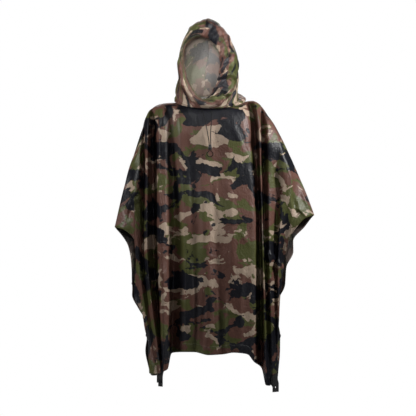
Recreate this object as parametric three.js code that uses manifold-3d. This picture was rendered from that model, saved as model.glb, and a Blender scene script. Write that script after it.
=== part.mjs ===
// A hooded rain poncho as it hangs on a standing adult, hollow inside: a front and a back panel that meet
// along the shoulders and arms, a drawcord hood, press studs down both open sides and an eyelet in each
// corner. Millimetres. X is the viewer's right, -Y is the front, +Z is up. The origin is between the collar
// bones, where the wearer's shoulders carry the cloth.
import * as THREE from "three";
import { mergeVertices } from "three/addons/utils/BufferGeometryUtils.js";
import Module from "manifold-3d";

const CLOTH = 1.5; // thickness of the coated cloth with its folded hems
const SEAM_GAP = 0.4; // between two panels that a seam joins
const SEAT_GAP = 0.3; // between a fitting and the cloth that it sits on
const CLEAR_STEP = 0.15; // step in which a fitting is moved off the cloth
const BUST = 0.15; // share of a fold's drop at which the cloth has come over the shoulder
const WAIST = 0.5;
const NORMAL_STEP = 0.004; // share of a panel over which its slope is measured
const SEARCH_STEP = 0.001; // share of a panel in which a place is looked for
const DRILL_LENGTH = 14;

const CLOTH_LOOK = { color: 0x5b5340, roughness: 0.7, metalness: 0 };
const METAL_LOOK = { color: 0x1c1d1e, roughness: 0.4, metalness: 0.8 };
const CORD_LOOK = { color: 0x141414, roughness: 0.85, metalness: 0 };
const WEBBING_LOOK = { color: 0x101011, roughness: 0.8, metalness: 0 };
const PLASTIC_LOOK = { color: 0x161616, roughness: 0.45, metalness: 0 };

// The neck seam: an oval round the wearer's neck, low at the front.
const NECK = { halfWidth: 134, front: 104, back: 86, sideZ: 10, frontZ: -18, backZ: 34 };

// The crest of the cloth over each shoulder and down the arm to the end of the side edge.
const SHOULDER_LINE = [
  { x: -404, y: -30, z: -518 },
  { x: -378, y: -27, z: -416 },
  { x: -357, y: -23, z: -314 },
  { x: -323, y: -17, z: -212 },
  { x: -290, y: -10, z: -126 },
  { x: -272, y: -5, z: -60 },
  { x: -259, y: -2, z: -26 },
  { x: -234, y: 0, z: -8 },
  { x: -190, y: 0, z: 8 },
  { x: -134, y: 0, z: 10 },
  { x: 134, y: 0, z: 10 },
  { x: 168, y: 0, z: 19 },
  { x: 204, y: 0, z: 8 },
  { x: 230, y: -2, z: -26 },
  { x: 255, y: -5, z: -60 },
  { x: 297, y: -11, z: -127 },
  { x: 341, y: -18, z: -225 },
  { x: 389, y: -24, z: -331 },
  { x: 430, y: -29, z: -430 },
  { x: 442, y: -30, z: -467 },
];

// The open side edges from the arm down to the corner, with the press studs where front and back meet.
// front and back are the two edges' x, and frontY and backY their depth.
const LEFT_EDGE = [
  { z: -518, front: -404, back: -404, frontY: -30, backY: -30 },
  { z: -528, front: -368, back: -398, frontY: -66, backY: 8 },
  { z: -552, front: -334, back: -378, frontY: -72, backY: 34 },
  { z: -603, front: -308, back: -348, frontY: -58, backY: 38 },
  { z: -672, front: -312, back: -336, frontY: -40, backY: 24 },
  { z: -738, front: -320, back: -332, frontY: -16, backY: -4 },
  { z: -803, front: -322, back: -332, frontY: -26, backY: 4 },
  { z: -862, front: -300, back: -306, frontY: -12, backY: 0 },
  { z: -926, front: -270, back: -273, frontY: -22, backY: 10 },
  { z: -985, front: -262, back: -268, frontY: -14, backY: 0 },
  { z: -1045, front: -262, back: -275, frontY: -38, backY: 4 },
  { z: -1134, front: -256, back: -255, frontY: -92, backY: -26 },
];
const RIGHT_EDGE = [
  { z: -467, front: 442, back: 442, frontY: -30, backY: -30 },
  { z: -479, front: 406, back: 432, frontY: -66, backY: 8 },
  { z: -518, front: 366, back: 404, frontY: -76, backY: 36 },
  { z: -580, front: 328, back: 356, frontY: -66, backY: 44 },
  { z: -622, front: 316, back: 356, frontY: -52, backY: 40 },
  { z: -690, front: 308, back: 326, frontY: -34, backY: 22 },
  { z: -765, front: 306, back: 319, frontY: -16, backY: -4 },
  { z: -838, front: 285, back: 290, frontY: -16, backY: -4 },
  { z: -911, front: 286, back: 289, frontY: -16, backY: -4 },
  { z: -983, front: 297, back: 300, frontY: -16, backY: -4 },
  { z: -1063, front: 295, back: 297, frontY: -28, backY: 4 },
  { z: -1152, front: 287, back: 288, frontY: -56, backY: -10 },
];

// The front panel's folds from the viewer's left to right, crests and hollows in turn. top is the x where the
// fold leaves the shoulder or the neck seam; bust and waist are x and y there, and hem is its end's x, y, z.
const FRONT_FOLDS = [
  { name: "left arm swag", top: -380, bust: [-322, -82], waist: [-302, -58], hem: [-233, -112, -1137] },
  { name: "left forearm", top: -345, bust: [-318, -86], waist: [-296, -92], hem: [-225, -124, -1136] },
  { name: "left upper arm", top: -300, bust: [-298, -84], waist: [-290, -84], hem: [-219, -127, -1134] },
  { name: "left arm crease", top: -268, bust: [-284, -34], waist: [-284, -62], hem: [-213, -131, -1131] },
  { name: "left narrow pipe", top: -258, bust: [-263, -102], waist: [-264, -114], hem: [-207, -136, -1128] },
  { name: "left deep hollow", top: -243, bust: [-242, -30], waist: [-240, -28], hem: [-200, -136, -1124] },
  { name: "left pipe", top: -225, bust: [-212, -122], waist: [-207, -152], hem: [-190, -156, -1120] },
  { name: "left pipe flank", top: -208, bust: [-191, -120], waist: [-184, -144], hem: [-177, -150, -1112] },
  { name: "left body hollow", top: -188, bust: [-160, -98], waist: [-151, -90], hem: [-160, -98, -1048] },
  { name: "left chest", top: -158, bust: [-120, -134], waist: [-103, -146], hem: [-97, -150, -1041] },
  { name: "left of centre dip", top: -112, bust: [-84, -130], waist: [-60, -140], hem: [-62, -142, -1042] },
  { name: "centre pleat", top: -58, bust: [-28, -143], waist: [-12, -156], hem: [-6, -166, -1053] },
  { name: "centre crease", top: 6, bust: [24, -134], waist: [30, -142], hem: [51, -148, -1051] },
  { name: "right of centre", top: 52, bust: [80, -140], waist: [92, -152], hem: [98, -162, -1043] },
  { name: "right chest", top: 90, bust: [138, -128], waist: [158, -142], hem: [155, -150, -1050] },
  { name: "right chest flank", top: 117, bust: [168, -114], waist: [188, -132], hem: [184, -138, -1082] },
  { name: "right deep hollow", top: 150, bust: [190, -42], waist: [211, -34], hem: [217, -84, -1112] },
  { name: "right narrow pipe", top: 178, bust: [209, -112], waist: [221, -130], hem: [234, -140, -1180] },
  { name: "right arm crease", top: 209, bust: [223, -44], waist: [231, -82], hem: [250, -120, -1184] },
  { name: "right arm front", top: 232, bust: [246, -100], waist: [249, -120], hem: [264, -118, -1172] },
  { name: "right upper arm", top: 266, bust: [286, -88], waist: [277, -76], hem: [276, -108, -1164] },
  { name: "right elbow", top: 310, bust: [311, -96], waist: [288, -98], hem: [283, -98, -1160] },
  { name: "right forearm", top: 360, bust: [339, -92], waist: [295, -66], hem: [284, -84, -1158] },
  { name: "right arm swag", top: 405, bust: [351, -84], waist: [299, -50], hem: [285, -70, -1156] },
];

// The back panel's folds, in the same columns and the same order of x.
const BACK_FOLDS = [
  { name: "left sleeve back", top: -366, bust: [-331, 54], waist: [-300, 44], hem: [-246, 4, -1150] },
  { name: "left elbow back", top: -323, bust: [-313, 66], waist: [-288, 84], hem: [-230, 36, -1152] },
  { name: "left arm back hollow", top: -276, bust: [-275, 38], waist: [-268, 30], hem: [-208, 44, -1128] },
  { name: "left back pipe", top: -244, bust: [-235, 100], waist: [-229, 132], hem: [-200, 124, -1086] },
  { name: "left back hollow", top: -206, bust: [-195, 84], waist: [-186, 70], hem: [-172, 92, -1042] },
  { name: "left blade", top: -150, bust: [-128, 118], waist: [-122, 138], hem: [-122, 150, -1032] },
  { name: "left of spine", top: -78, bust: [-66, 112], waist: [-62, 114], hem: [-60, 114, -1030] },
  { name: "spine", top: 0, bust: [0, 118], waist: [0, 136], hem: [2, 152, -1034] },
  { name: "right of spine", top: 78, bust: [68, 112], waist: [64, 114], hem: [66, 116, -1030] },
  { name: "right blade", top: 140, bust: [130, 118], waist: [126, 138], hem: [126, 150, -1034] },
  { name: "right back hollow", top: 180, bust: [176, 84], waist: [172, 70], hem: [172, 92, -1046] },
  { name: "right back pipe", top: 215, bust: [214, 98], waist: [214, 130], hem: [218, 120, -1096] },
  { name: "right arm back hollow", top: 257, bust: [258, 38], waist: [250, 32], hem: [246, 48, -1146] },
  { name: "right elbow back", top: 318, bust: [310, 68], waist: [282, 88], hem: [266, 46, -1158] },
  { name: "right sleeve back", top: 386, bust: [354, 56], waist: [298, 46], hem: [280, 16, -1156] },
];

// The hood's rings, from the face opening over the crown to just above the neck seam. low is a ring's point
// at the chin or throat and high its point at the brow, crown or nape. x is its middle, lean how far its high
// point is to the right of its low one, and egg how much it narrows at the top.
const HOOD_RINGS = [
  { lowY: -112, lowZ: 22, highY: -124, highZ: 281, halfWidth: 75, x: -36, lean: -30, egg: 0.02 },
  { lowY: -124, lowZ: 17, highY: -138, highZ: 292, halfWidth: 86, x: -30, lean: -24, egg: 0.0 },
  { lowY: -131, lowZ: 9, highY: -139, highZ: 318, halfWidth: 101, x: -21, lean: 0, egg: 0.0 },
  { lowY: -134, lowZ: 1, highY: -124, highZ: 342, halfWidth: 113, x: -15, lean: -4, egg: 0.06 },
  { lowY: -135, lowZ: -5, highY: -84, highZ: 358, halfWidth: 120, x: -12, lean: -8, egg: 0.1 },
  { lowY: -134, lowZ: -9, highY: -20, highZ: 364, halfWidth: 124, x: -9, lean: -10, egg: 0.12 },
  { lowY: -132, lowZ: -12, highY: 52, highZ: 346, halfWidth: 125, x: -8, lean: -8, egg: 0.1 },
  { lowY: -130, lowZ: -14, highY: 108, highZ: 298, halfWidth: 126, x: -7, lean: -4, egg: 0.05 },
  { lowY: -128, lowZ: -16, highY: 136, highZ: 228, halfWidth: 128, x: -5, lean: 0, egg: 0.0 },
  { lowY: -126, lowZ: -18, highY: 140, highZ: 156, halfWidth: 129, x: -12, lean: -16, egg: -0.02 },
  { lowY: -124, lowZ: -19, highY: 126, highZ: 92, halfWidth: 132, x: -12, lean: -20, egg: 0.0 },
];
const BRIM_RINGS = 3; // rings from the face opening to the brim's seam
const HOOD_POINTS = 56;
const RIM_GATHERS = { count: 14, depth: 2.6 };

// The hood's last rings hang over the neck seam and turn in under themselves to it: how far each lies outside
// the seam and above it, at the sides and back and then at the throat.
const NECK_TURN = [
  { out: 17, up: 19, throatOut: 17.5, throatUp: -1.6, gathers: 0.6 },
  { out: 18, up: 12, throatOut: 14, throatUp: -2, gathers: 1 },
  { out: 11, up: 5.5, throatOut: 9, throatUp: -1.4, gathers: 0.5 },
  { out: 0, up: 0.9, throatOut: 0, throatUp: 0.9, gathers: 0 },
];
const NECK_GATHERS = { count: 18, depth: 2.6 };

const FRONT_COLUMNS_PER_FOLD = 2;
const BACK_COLUMNS_PER_FOLD = 3;
const SHOULDER_ROWS = 5;
const HANGING_ROWS = 14;

const STUD = { radius: 6.5, height: 2.2, inset: 9, sides: 10 };
const STUDS_PER_SIDE = 4;
const STUD_FIRST_Z = -765;
const STUD_PITCH = 72.7;

// The black patch at each corner. It starts at startDown of the panel, faces the way the cloth does at
// facesAt and is flat from flatBy of its free length. from and to are the shares of the panel that it covers,
// below how far it hangs past the hem, and face says if it lies on the outer face (1) or the inner one (-1).
const TAB = {
  thickness: 1.5,
  startDown: 0.972,
  facesAt: 0.99,
  rowsOn: 3,
  rowsBelow: 6,
  columns: 6,
  flatBy: 0.25,
  eyeletUp: 20,
};
const TABS = [
  { corner: "front_left", panel: "front", from: 0.085, to: 0.245, below: 51, face: -1 },
  { corner: "front_right", panel: "front", from: 0.775, to: 0.9, below: 30, face: 1 },
  { corner: "back_left", panel: "back", from: 0.135, to: 0.185, below: 32, face: 1 },
  { corner: "back_right", panel: "back", from: 0.862, to: 0.938, below: 32, face: 1 },
];
const EYELET = { hole: 4, barrel: 5, flange: 8.5, flangeHeight: 1, sides: 12 };

// The drawcord: its two strands from the throat to the lock, and the loop below it.
const CORD = { diameter: 3.6, sides: 8, stepLength: 9 };
const CORD_LEFT = [
  { x: -34.6, y: -116.8, z: -32 },
  { x: -34.6, y: -123.7, z: -28.1 },
  { x: -33.5, y: -128.5, z: -27.5 },
  { x: -31, y: -132.5, z: -32.5 },
  { x: -28, y: -134, z: -43 },
  { x: -21, y: -138.5, z: -66 },
  { x: -15, y: -144.5, z: -98 },
  { x: -9, y: -149.5, z: -132 },
  { x: -4.5, y: -152.3, z: -158 },
  { x: -3.5, y: -153, z: -171.7 },
];
const CORD_RIGHT = [
  { x: 7.6, y: -118.4, z: -33.8 },
  { x: 7.7, y: -125.3, z: -31 },
  { x: 8, y: -130, z: -31.4 },
  { x: 8, y: -133, z: -36.5 },
  { x: 7.5, y: -134.5, z: -46 },
  { x: 6.5, y: -138.5, z: -66 },
  { x: 4, y: -144.5, z: -98 },
  { x: 2.5, y: -149.5, z: -132 },
  { x: 3, y: -152.3, z: -158 },
  { x: 3.5, y: -153, z: -171.7 },
];
const CORD_LOOP = [
  { x: -3.5, y: -153, z: -194.4 },
  { x: -3.8, y: -153, z: -199 },
  { x: -11, y: -152.5, z: -206 },
  { x: -12.5, y: -152, z: -213 },
  { x: -7.5, y: -151, z: -220.5 },
  { x: 0, y: -150.5, z: -223 },
  { x: 7.5, y: -151, z: -220.5 },
  { x: 12.5, y: -152, z: -213 },
  { x: 11, y: -152.5, z: -206 },
  { x: 3.8, y: -153, z: -199 },
  { x: 3.5, y: -153, z: -194.4 },
];
const LOCK = { x: 0, y: -153, top: -172, bottom: -194, radius: 8, neck: 6.4, sides: 16 };

// The throat eyelets that the strands come out of: rings on the cloth, placed by their shares of the front panel.
const CORD_EYELET = { hole: 2.4, crown: 3.3, flange: 5, height: 1.2, sides: 10 };
const CORD_EYELETS = [
  { node: "cord_eyelet_left", across: 0.487, down: 0.044 },
  { node: "cord_eyelet_right", across: 0.5154, down: 0.044 },
];

const wasm = await Module();
wasm.setup();

// Smooth curve through points (at, value) that never overshoots between two of them: cubic pieces whose
// slopes are the weighted harmonic mean of the neighbouring chords', and zero at a crest or hollow.
function smoothThrough(at, value) {
  const n = at.length;
  const step = at.slice(1).map((a, i) => a - at[i]);
  const chord = step.map((h, i) => (value[i + 1] - value[i]) / h);
  const slope = value.map((_, i) => {
    if (i === 0) return chord[0];
    if (i === n - 1) return chord[n - 2];
    if (chord[i - 1] * chord[i] <= 0) return 0;
    const before = 2 * step[i] + step[i - 1];
    const after = step[i] + 2 * step[i - 1];
    return (before + after) / (before / chord[i - 1] + after / chord[i]);
  });
  return (x) => {
    let i = 0;
    while (i < n - 2 && x > at[i + 1]) i++;
    const t = (x - at[i]) / step[i];
    const t2 = t * t;
    const t3 = t2 * t;
    return (
      value[i] * (2 * t3 - 3 * t2 + 1) +
      step[i] * slope[i] * (t3 - 2 * t2 + t) +
      value[i + 1] * (3 * t2 - 2 * t3) +
      step[i] * slope[i + 1] * (t3 - t2)
    );
  };
}

const column = (rows, key) => rows.map((row) => row[key]);
const shoulderX = column(SHOULDER_LINE, "x");
const shoulderY = smoothThrough(shoulderX, column(SHOULDER_LINE, "y"));
const shoulderZ = smoothThrough(shoulderX, column(SHOULDER_LINE, "z"));

// A point of the neck seam at an angle: 0 is the right side, 90 degrees the back and 270 the front.
function neckPoint(angle) {
  const depth = Math.sin(angle) > 0 ? NECK.back : NECK.front;
  const endZ = Math.sin(angle) > 0 ? NECK.backZ : NECK.frontZ;
  const share = Math.abs(Math.sin(angle));
  return new THREE.Vector3(
    NECK.halfWidth * Math.cos(angle),
    depth * Math.sin(angle),
    NECK.sideZ + (endZ - NECK.sideZ) * share,
  );
}

// Where a fold starts: on the neck seam within the neck's width, and on the shoulder line outside it.
function topPoint(x, side) {
  if (Math.abs(x) <= NECK.halfWidth) return neckPoint(side * Math.acos(x / NECK.halfWidth));
  return new THREE.Vector3(x, shoulderY(x), shoulderZ(x));
}

// One fold's line from its top to the hem: a quarter oval over the shoulder, then a hanging line.
function foldLine(fold, side) {
  const top = topPoint(fold.top, side);
  const [bustX, bustY] = fold.bust;
  const [waistX, waistY] = fold.waist;
  const [hemX, hemY, hemZ] = fold.hem;
  const bustZ = top.z + BUST * (hemZ - top.z);
  const hangX = smoothThrough([BUST, WAIST, 1], [bustX, waistX, hemX]);
  const hangY = smoothThrough([0, BUST, WAIST, 1], [bustY, bustY, waistY, hemY]);
  return (down) => {
    if (down < BUST) {
      const turn = (down / BUST) * (Math.PI / 2);
      return new THREE.Vector3(
        top.x + (bustX - top.x) * Math.sin(turn),
        top.y + (bustY - top.y) * Math.sin(turn),
        top.z + (bustZ - top.z) * (1 - Math.cos(turn)),
      );
    }
    return new THREE.Vector3(hangX(down), hangY(down), top.z + down * (hemZ - top.z));
  };
}

// A side edge's line from the arm to the corner, by its length.
function edgeLine(rows, panel) {
  const points = rows.map((row) => new THREE.Vector3(row[panel], row[panel + "Y"], row.z));
  const reach = [0];
  for (let i = 1; i < points.length; i++) reach.push(reach[i - 1] + points[i].distanceTo(points[i - 1]));
  const at = reach.map((r) => r / reach[reach.length - 1]);
  const along = ["x", "y", "z"].map((axis) => smoothThrough(at, column(points, axis)));
  return (down) => new THREE.Vector3(...along.map((f) => f(down)));
}

const LAST_COLUMN = 1e-9;

// A panel as a function of its two shares, across from the viewer's left and down from the shoulder.
function panelSurface(panel) {
  const side = panel === "front" ? -1 : 1;
  const folds = panel === "front" ? FRONT_FOLDS : BACK_FOLDS;
  const lines = [
    edgeLine(LEFT_EDGE, panel),
    ...folds.map((fold) => foldLine(fold, side)),
    edgeLine(RIGHT_EDGE, panel),
  ];
  const at = lines.map((_, i) => i / (lines.length - 1));
  return {
    spans: lines.length - 1,
    row: (down) => {
      const points = lines.map((line) => line(down));
      const across = ["x", "y", "z"].map((axis) => smoothThrough(at, column(points, axis)));
      return (share) => {
        const held = Math.min(Math.max(share, 0), 1 - LAST_COLUMN);
        return new THREE.Vector3(...across.map((f) => f(held))).add(
          new THREE.Vector3(0, (side * SEAM_GAP) / 2, 0),
        );
      };
    },
  };
}

// The shares down a panel: even turns over the shoulder, then even steps to the hem.
function downShares() {
  const over = [...Array(SHOULDER_ROWS).keys()].map((i) => (BUST * i) / SHOULDER_ROWS);
  const hang = [...Array(HANGING_ROWS + 1).keys()].map((i) => BUST + ((1 - BUST) * i) / HANGING_ROWS);
  return [...over, ...hang];
}

// The way a line heads at one of its points: the mean of the directions of the steps before and after it, each
// seen along another direction, so that the point of a sharp fold is moved straight into the fold.
function heading(before, here, after, seenAlong) {
  const direction = (from, to) => {
    const step = to.clone().sub(from);
    return step.addScaledVector(seenAlong, -step.dot(seenAlong)).normalize();
  };
  return direction(before, here).add(direction(here, after));
}

// Normals of a grid of points, on the side that (across x down) points to, times facing.
function gridNormals(grid, facing, wraps) {
  const rows = grid.length;
  const columns = grid[0].length;
  return grid.map((row, j) =>
    row.map((_, i) => {
      const left = wraps ? row[(i + columns - 1) % columns] : row[Math.max(i - 1, 0)];
      const right = wraps ? row[(i + 1) % columns] : row[Math.min(i + 1, columns - 1)];
      const above = grid[Math.max(j - 1, 0)][i];
      const below = grid[Math.min(j + 1, rows - 1)][i];
      const down = heading(above, row[i], below, new THREE.Vector3()).normalize();
      const across = heading(left, row[i], right, down);
      return across.cross(down).multiplyScalar(facing).normalize();
    }),
  );
}

// A closed wall between an outer grid of points and an inner one.
function wallGeometry(outer, inner, wraps, facing) {
  const rows = outer.length;
  const columns = outer[0].length;
  const points = [...outer.flat(), ...inner.flat()];
  const innerStart = rows * columns;
  const faces = [];
  const quad = (a, b, c, d) => faces.push(...(facing > 0 ? [a, b, c, a, c, d] : [a, c, b, a, d, c]));
  const spans = wraps ? columns : columns - 1;
  for (let j = 0; j < rows - 1; j++) {
    for (let i = 0; i < spans; i++) {
      const next = (i + 1) % columns;
      const [a, b] = [j * columns + i, j * columns + next];
      const [c, d] = [(j + 1) * columns + next, (j + 1) * columns + i];
      quad(a, b, c, d);
      quad(innerStart + a, innerStart + d, innerStart + c, innerStart + b);
    }
  }
  for (let i = 0; i < spans; i++) {
    const next = (i + 1) % columns;
    const last = (rows - 1) * columns;
    quad(next, i, innerStart + i, innerStart + next);
    quad(last + i, last + next, innerStart + last + next, innerStart + last + i);
  }
  for (let j = 0; !wraps && j < rows - 1; j++) {
    const [a, b] = [j * columns, (j + 1) * columns];
    const [c, d] = [a + columns - 1, b + columns - 1];
    quad(a, b, innerStart + b, innerStart + a);
    quad(d, c, innerStart + c, innerStart + d);
  }
  const geometry = new THREE.BufferGeometry();
  geometry.setAttribute("position", new THREE.Float32BufferAttribute(points.flatMap((p) => p.toArray()), 3));
  geometry.setIndex(faces);
  return geometry;
}

function solidOf(geometry) {
  const bare = geometry.clone();
  bare.deleteAttribute("normal");
  bare.deleteAttribute("uv");
  const merged = mergeVertices(bare, 1e-4);
  return new wasm.Manifold(
    new wasm.Mesh({
      numProp: 3,
      vertProperties: merged.attributes.position.array,
      triVerts: new Uint32Array(merged.index.array),
    }),
  );
}

function geometryOf(solid) {
  const { vertProperties, triVerts } = solid.getMesh();
  const geometry = new THREE.BufferGeometry();
  geometry.setAttribute("position", new THREE.BufferAttribute(new Float32Array(vertProperties), 3));
  geometry.setIndex(new THREE.BufferAttribute(new Uint32Array(triVerts), 1));
  return geometry;
}

function named(name, geometry, look) {
  const mesh = new THREE.Mesh(geometry, new THREE.MeshStandardMaterial(look));
  mesh.name = name;
  return mesh;
}

// A panel's wall. Its shoulder row faces straight out of the shoulder, so the two panels' ends are parallel.
function panelWall(panel) {
  const surface = panelSurface(panel);
  const facing = panel === "front" ? -1 : 1;
  const perFold = panel === "front" ? FRONT_COLUMNS_PER_FOLD : BACK_COLUMNS_PER_FOLD;
  const columns = surface.spans * perFold;
  const outer = downShares().map((down) => {
    const at = surface.row(down);
    return [...Array(columns + 1).keys()].map((i) => at(i / columns));
  });
  const normals = gridNormals(outer, facing, false);
  normals[0].forEach((normal) => normal.setY(0).normalize());
  const inner = outer.map((row, j) => row.map((p, i) => p.clone().addScaledVector(normals[j][i], -CLOTH)));
  return wallGeometry(outer, inner, false, facing);
}

// A place on a panel's outer face: its point and the normal there.
function placeOn(panel, across, down) {
  const surface = panelSurface(panel);
  const facing = panel === "front" ? -1 : 1;
  const point = surface.row(down)(across);
  const at = (a, d) => surface.row(Math.min(d, 1))(a);
  const sideways = at(across + NORMAL_STEP, down).sub(at(across - NORMAL_STEP, down));
  const downward = at(across, down + NORMAL_STEP).sub(at(across, down - NORMAL_STEP));
  const normal = sideways.cross(downward).multiplyScalar(facing).normalize();
  return { point, normal };
}

// The share across that lies a given distance in from a side edge, and the share down at a given height.
function edgePlace(panel, right, z, inset) {
  const surface = panelSurface(panel);
  const edge = right ? 1 : 0;
  let down = 0;
  while (down < 1 && surface.row(down)(edge).z > z) down += SEARCH_STEP;
  const at = surface.row(down);
  const start = at(edge);
  let across = edge;
  while (at(across).distanceTo(start) < inset) across += right ? -SEARCH_STEP : SEARCH_STEP;
  return { across, down };
}

// Turns a piece made along +Z to stand on a place of the cloth.
function seated(mesh, { point, normal }) {
  mesh.quaternion.setFromUnitVectors(new THREE.Vector3(0, 0, 1), normal);
  mesh.position.copy(point);
  return mesh;
}

// The solid of a piece seated on a place.
function seatedSolid(geometry, place) {
  const mesh = seated(new THREE.Mesh(geometry), place);
  mesh.updateMatrix();
  return solidOf(geometry.clone().applyMatrix4(mesh.matrix));
}

// The least distance along a direction that takes a piece clear of another, and one step more.
function clearance(solidAt, other, from = 0) {
  let distance = from;
  while (solidAt(distance).intersect(other).volume() > 0) distance += CLEAR_STEP;
  return distance + CLEAR_STEP;
}

// A place moved out until the piece that goes there is clear of the cloth.
function clearPlace(geometry, { point, normal }, cloth) {
  const moved = (distance) => ({ point: point.clone().addScaledVector(normal, distance), normal });
  return moved(clearance((distance) => seatedSolid(geometry, moved(distance)), cloth, -CLOTH));
}

// A press stud's domed cap with a flat foot.
function studGeometry() {
  const { radius, height, sides } = STUD;
  const profile = [
    [0, 0],
    [radius, 0],
    [radius, height * 0.35],
    [radius * 0.8, height * 0.85],
    [radius * 0.35, height],
    [0, height],
  ].map(([r, z]) => new THREE.Vector2(r, z));
  return new THREE.LatheGeometry(profile, sides).rotateX(Math.PI / 2);
}

// An eyelet: a barrel through a wall of the given thickness with a flange on each face. Zero height is the
// wall's outer face.
function eyeletGeometry({ hole, barrel, flange, flangeHeight, sides }, wall) {
  const outside = SEAT_GAP + flangeHeight;
  const inside = -wall - SEAT_GAP;
  const profile = [
    [hole, inside - flangeHeight],
    [flange, inside - flangeHeight * 0.6],
    [flange, inside],
    [barrel, inside],
    [barrel, SEAT_GAP],
    [flange, SEAT_GAP],
    [flange, SEAT_GAP + flangeHeight * 0.6],
    [hole, outside],
    [hole, inside - flangeHeight],
  ].map(([r, z]) => new THREE.Vector2(r, z));
  return new THREE.LatheGeometry(profile, sides).rotateX(Math.PI / 2);
}

// A throat eyelet's ring: a flat foot, a low flange and a rounded crown round its hole.
function ringGeometry({ hole, crown, flange, height, sides }) {
  const profile = [
    [hole, 0],
    [flange, 0],
    [flange, height * 0.4],
    [crown, height],
    [hole, height],
    [hole, 0],
  ].map(([r, z]) => new THREE.Vector2(r, z));
  return new THREE.LatheGeometry(profile, sides).rotateX(Math.PI / 2);
}

// The hole that an eyelet's barrel goes through.
function punch(place, { barrel, sides }) {
  const drill = new THREE.CylinderGeometry(barrel + SEAT_GAP, barrel + SEAT_GAP, DRILL_LENGTH, sides);
  return seatedSolid(drill.rotateX(Math.PI / 2), place);
}

// One ring of the hood at a share of the way round, from its high point and by the right side.
function hoodPoint(ring, share) {
  const angle = 2 * Math.PI * share;
  const up = Math.cos(angle);
  const middleY = (ring.lowY + ring.highY) / 2;
  const middleZ = (ring.lowZ + ring.highZ) / 2;
  return new THREE.Vector3(
    ring.x + (ring.lean / 2) * up + ring.halfWidth * Math.sin(angle) * (1 - ring.egg * up),
    middleY + ((ring.highY - ring.lowY) / 2) * up,
    middleZ + ((ring.highZ - ring.lowZ) / 2) * up,
  );
}

// One of the rings that turn in to the neck seam.
function neckTurnPoint(ring, share) {
  const angle = Math.PI / 2 - 2 * Math.PI * share;
  const throat = Math.max(-Math.sin(angle), 0);
  const gather = NECK_GATHERS.depth * ring.gathers * Math.cos(2 * Math.PI * NECK_GATHERS.count * share);
  const out = new THREE.Vector3(Math.cos(angle), Math.sin(angle), 0);
  const reach = ring.out + (ring.throatOut - ring.out) * throat;
  const up = new THREE.Vector3(0, 0, ring.up + (ring.throatUp - ring.up) * throat);
  return neckPoint(angle).addScaledVector(out, reach + gather * (1 - throat)).add(up);
}

// The whole hood as two grids of points, outer and inner, from the face opening to the neck seam.
function hoodGrids() {
  const shares = [...Array(HOOD_POINTS).keys()].map((i) => i / HOOD_POINTS);
  const outer = [
    ...HOOD_RINGS.map((ring) => shares.map((share) => hoodPoint(ring, share))),
    ...NECK_TURN.map((ring) => shares.map((share) => neckTurnPoint(ring, share))),
  ];
  const normals = gridNormals(outer, 1, true);
  outer[1].forEach((point, i) => {
    const gather = RIM_GATHERS.depth * Math.cos(2 * Math.PI * RIM_GATHERS.count * shares[i]);
    point.addScaledVector(normals[1][i], gather);
  });
  normals[outer.length - 1] = shares.map(() => new THREE.Vector3(0, 0, -1));
  const inner = outer.map((row, j) => row.map((p, i) => p.clone().addScaledVector(normals[j][i], -CLOTH)));
  return { outer, inner };
}

// The brim: the first rings, all the way round.
function brimWall({ outer, inner }) {
  return wallGeometry(outer.slice(0, BRIM_RINGS), inner.slice(0, BRIM_RINGS), true, 1);
}

// Half of the rest of the hood, a seam's gap back from the brim and from the other half.
function hoodHalf({ outer, inner }, right) {
  const half = HOOD_POINTS / 2;
  const columns = [...Array(half + 1).keys()].map((i) => (right ? i : half + i) % HOOD_POINTS);
  const towards = (point, next, distance) =>
    point.addScaledVector(next.clone().sub(point).normalize(), distance);
  const cut = (grid) => {
    const rows = grid.slice(BRIM_RINGS - 1).map((row) => columns.map((i) => row[i].clone()));
    rows[0].forEach((point, i) => towards(point, rows[1][i], SEAM_GAP));
    for (const row of rows) {
      towards(row[0], row[1], SEAM_GAP / 2);
      towards(row[half], row[half - 1], SEAM_GAP / 2);
    }
    return rows;
  };
  return wallGeometry(cut(outer), cut(inner), false, 1);
}

// A corner patch: the panel's own points moved off the cloth, then straight down past the hem to a flat end.
function tabParts(tab, cloth) {
  const surface = panelSurface(tab.panel);
  const facing = tab.panel === "front" ? -1 : 1;
  const width = tab.to - tab.from;
  const shares = [...Array(TAB.columns + 1).keys()].map((i) => tab.from + (width * i) / TAB.columns);
  const out = placeOn(tab.panel, (tab.from + tab.to) / 2, TAB.facesAt).normal.setZ(0).normalize();
  const on = [...Array(TAB.rowsOn + 1).keys()].map((j) => {
    const row = surface.row(TAB.startDown + ((1 - TAB.startDown) * j) / TAB.rowsOn);
    return shares.map((share) => row(share));
  });
  const hem = on[TAB.rowsOn];
  const middle = hem[TAB.columns / 2];
  const end = Math.min(...hem.map((p) => p.z)) - tab.below;
  const below = [...Array(TAB.rowsBelow).keys()].map((j) => {
    const reach = (j + 1) / TAB.rowsBelow;
    const flat = Math.min(reach / TAB.flatBy, 1);
    return hem.map((p) => {
      const off = p.clone().sub(middle).dot(out);
      return p.clone().addScaledVector(out, -off * flat).setZ(p.z + (end - p.z) * reach);
    });
  });
  const grid = [...on, ...below];
  const lifted = (distance) => grid.map((row) => row.map((p) => p.clone().addScaledVector(out, distance)));
  const wall = (distance) => wallGeometry(lifted(distance + TAB.thickness), lifted(distance), false, facing);
  const start = (distance) => (tab.face > 0 ? distance : -CLOTH - TAB.thickness - distance);
  const lift = start(clearance((distance) => solidOf(wall(start(distance))), cloth));
  const point = below[TAB.rowsBelow - 1][TAB.columns / 2].clone().addScaledVector(out, lift + TAB.thickness);
  return { wall: wall(lift), seat: { point: point.setZ(end + TAB.eyeletUp), normal: out } };
}

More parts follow.
